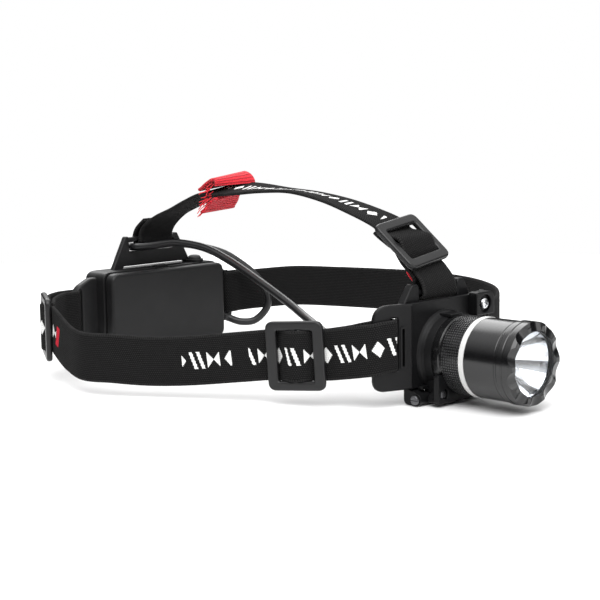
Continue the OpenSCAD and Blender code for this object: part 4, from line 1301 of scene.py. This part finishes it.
CARRIED = {
    "detent_spring": "steel", "heat_sink": "bare", "driver_board": "board", "lamp_wires": "wire",
    "cover_pin_left": "steel", "cover_pin_right": "steel", "latch_spring": "steel",
    "cell_upper": "cell", "cell_lower": "cell", "contact_spring_upper": "steel",
    "contact_spring_lower": "steel", "contact_plate_left": "brass", "contact_plate_right": "brass",
    "charge_board": "board", "switch_body": "dark_steel_and_shade",
}


def dress_carried_nodes():
    for node, key in CARRIED.items():
        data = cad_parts[node].data
        data.materials.clear()
        data.materials.append(LOOKS[key])
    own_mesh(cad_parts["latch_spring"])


# ---------- studio ----------

def floor_material():
    s = Shade("floor_pale", roughness=0.75, specular=0.2)
    s.tone(400, 2, (0.86, 0.86, 0.86), (0.88, 0.88, 0.88))
    return s.material


# Height, from 0 at the horizon to 1 overhead, and brightness of the light from all round
HORIZON_EDGE, HORIZON_TONE = 0.24, 0.012
SKY_EDGE, SKY_TONE = 0.72, 1.25
# Metres
FLOOR_REACH, FLOOR_GAP = 0.62, 0.0002


def make_studio():
    lowest = cad_box[0][2] - FLOOR_GAP
    mesh = bpy.data.meshes.new("floor")
    reach, rings = FLOOR_REACH, 96
    edge = [(reach * math.cos(2 * math.pi * k / rings), reach * math.sin(2 * math.pi * k / rings),
             lowest) for k in range(rings)]
    mesh.from_pydata(edge, [], [tuple(range(rings))])
    floor = add_object("floor", mesh)
    mesh.materials.append(floor_material())
    target = Vector((0, -20, 20)) * MM
    for name, place, size, power in (("key", (-500, -500, 950), 1.0, 13),
                                     ("front", (120, -1100, 260), 0.7, 3.5),
                                     ("rim", (500, 800, 800), 0.9, 8)):
        data = bpy.data.lights.new(name, "AREA")
        data.shape, data.size, data.energy = "SQUARE", size, power
        obj = add_object(name, data)
        obj.location = Vector(place) * MM
        obj.rotation_euler = (target - obj.location).to_track_quat("-Z", "Y").to_euler()
    make_world()


def make_world():
    """Large soft light overhead above a dark horizon; plain white where the camera sees it."""
    world = bpy.data.worlds.new("studio")
    world.use_nodes = True
    tree = world.node_tree
    background = tree.nodes["Background"]
    place = tree.nodes.new("ShaderNodeTexCoord")
    split = tree.nodes.new("ShaderNodeSeparateXYZ")
    ramp = tree.nodes.new("ShaderNodeValToRGB")
    tree.links.new(place.outputs["Generated"], split.inputs[0])
    tree.links.new(split.outputs["Z"], ramp.inputs[0])
    low, high = ramp.color_ramp.elements
    low.position, low.color = HORIZON_EDGE, (*(HORIZON_TONE,) * 3, 1)
    high.position, high.color = SKY_EDGE, (*(SKY_TONE,) * 3, 1)
    seen = tree.nodes.new("ShaderNodeLightPath")
    choose = tree.nodes.new("ShaderNodeMix")
    choose.data_type = "RGBA"
    tree.links.new(seen.outputs["Is Camera Ray"], choose.inputs[0])
    tree.links.new(ramp.outputs[0], choose.inputs[6])
    choose.inputs[7].default_value = (1, 1, 1, 1)
    tree.links.new(choose.outputs[2], background.inputs["Color"])
    bpy.context.scene.world = world
    bpy.context.scene.view_settings.view_transform = "Standard"


# ---------- build ----------

make_camera()
lead_piece()
gland("gland_box", (39.1, 110, -13.6), (1, 0, 0), 6.4, 3.2, 2.7, ["box_gland"])
gland("gland_lamp", (-22.8, -88.8, -2), (-1, 0, 0), 7.2, 3.2, 2.6, ["lamp_gland"])
strap_pieces()
tag_pieces()
loose_threads()
buckle_pieces()
left_ear()
right_ear()
base_core()
front_bracket()
hinge_knuckles()
hinge_screws()
forehead_pad()
plate_face()
barrel_collar()
corner_lug()
hinge_leaf()
lamp_screws()
barrel_pieces()
head_pieces()
lens_piece()
reflector_piece()
oring_piece()
led_pieces()
cover_pieces()
box_shell()
box_ears()
box_bracket()
shell_hinge_eyes()
switch_pieces()
latch_piece()
dress_carried_nodes()
make_studio()
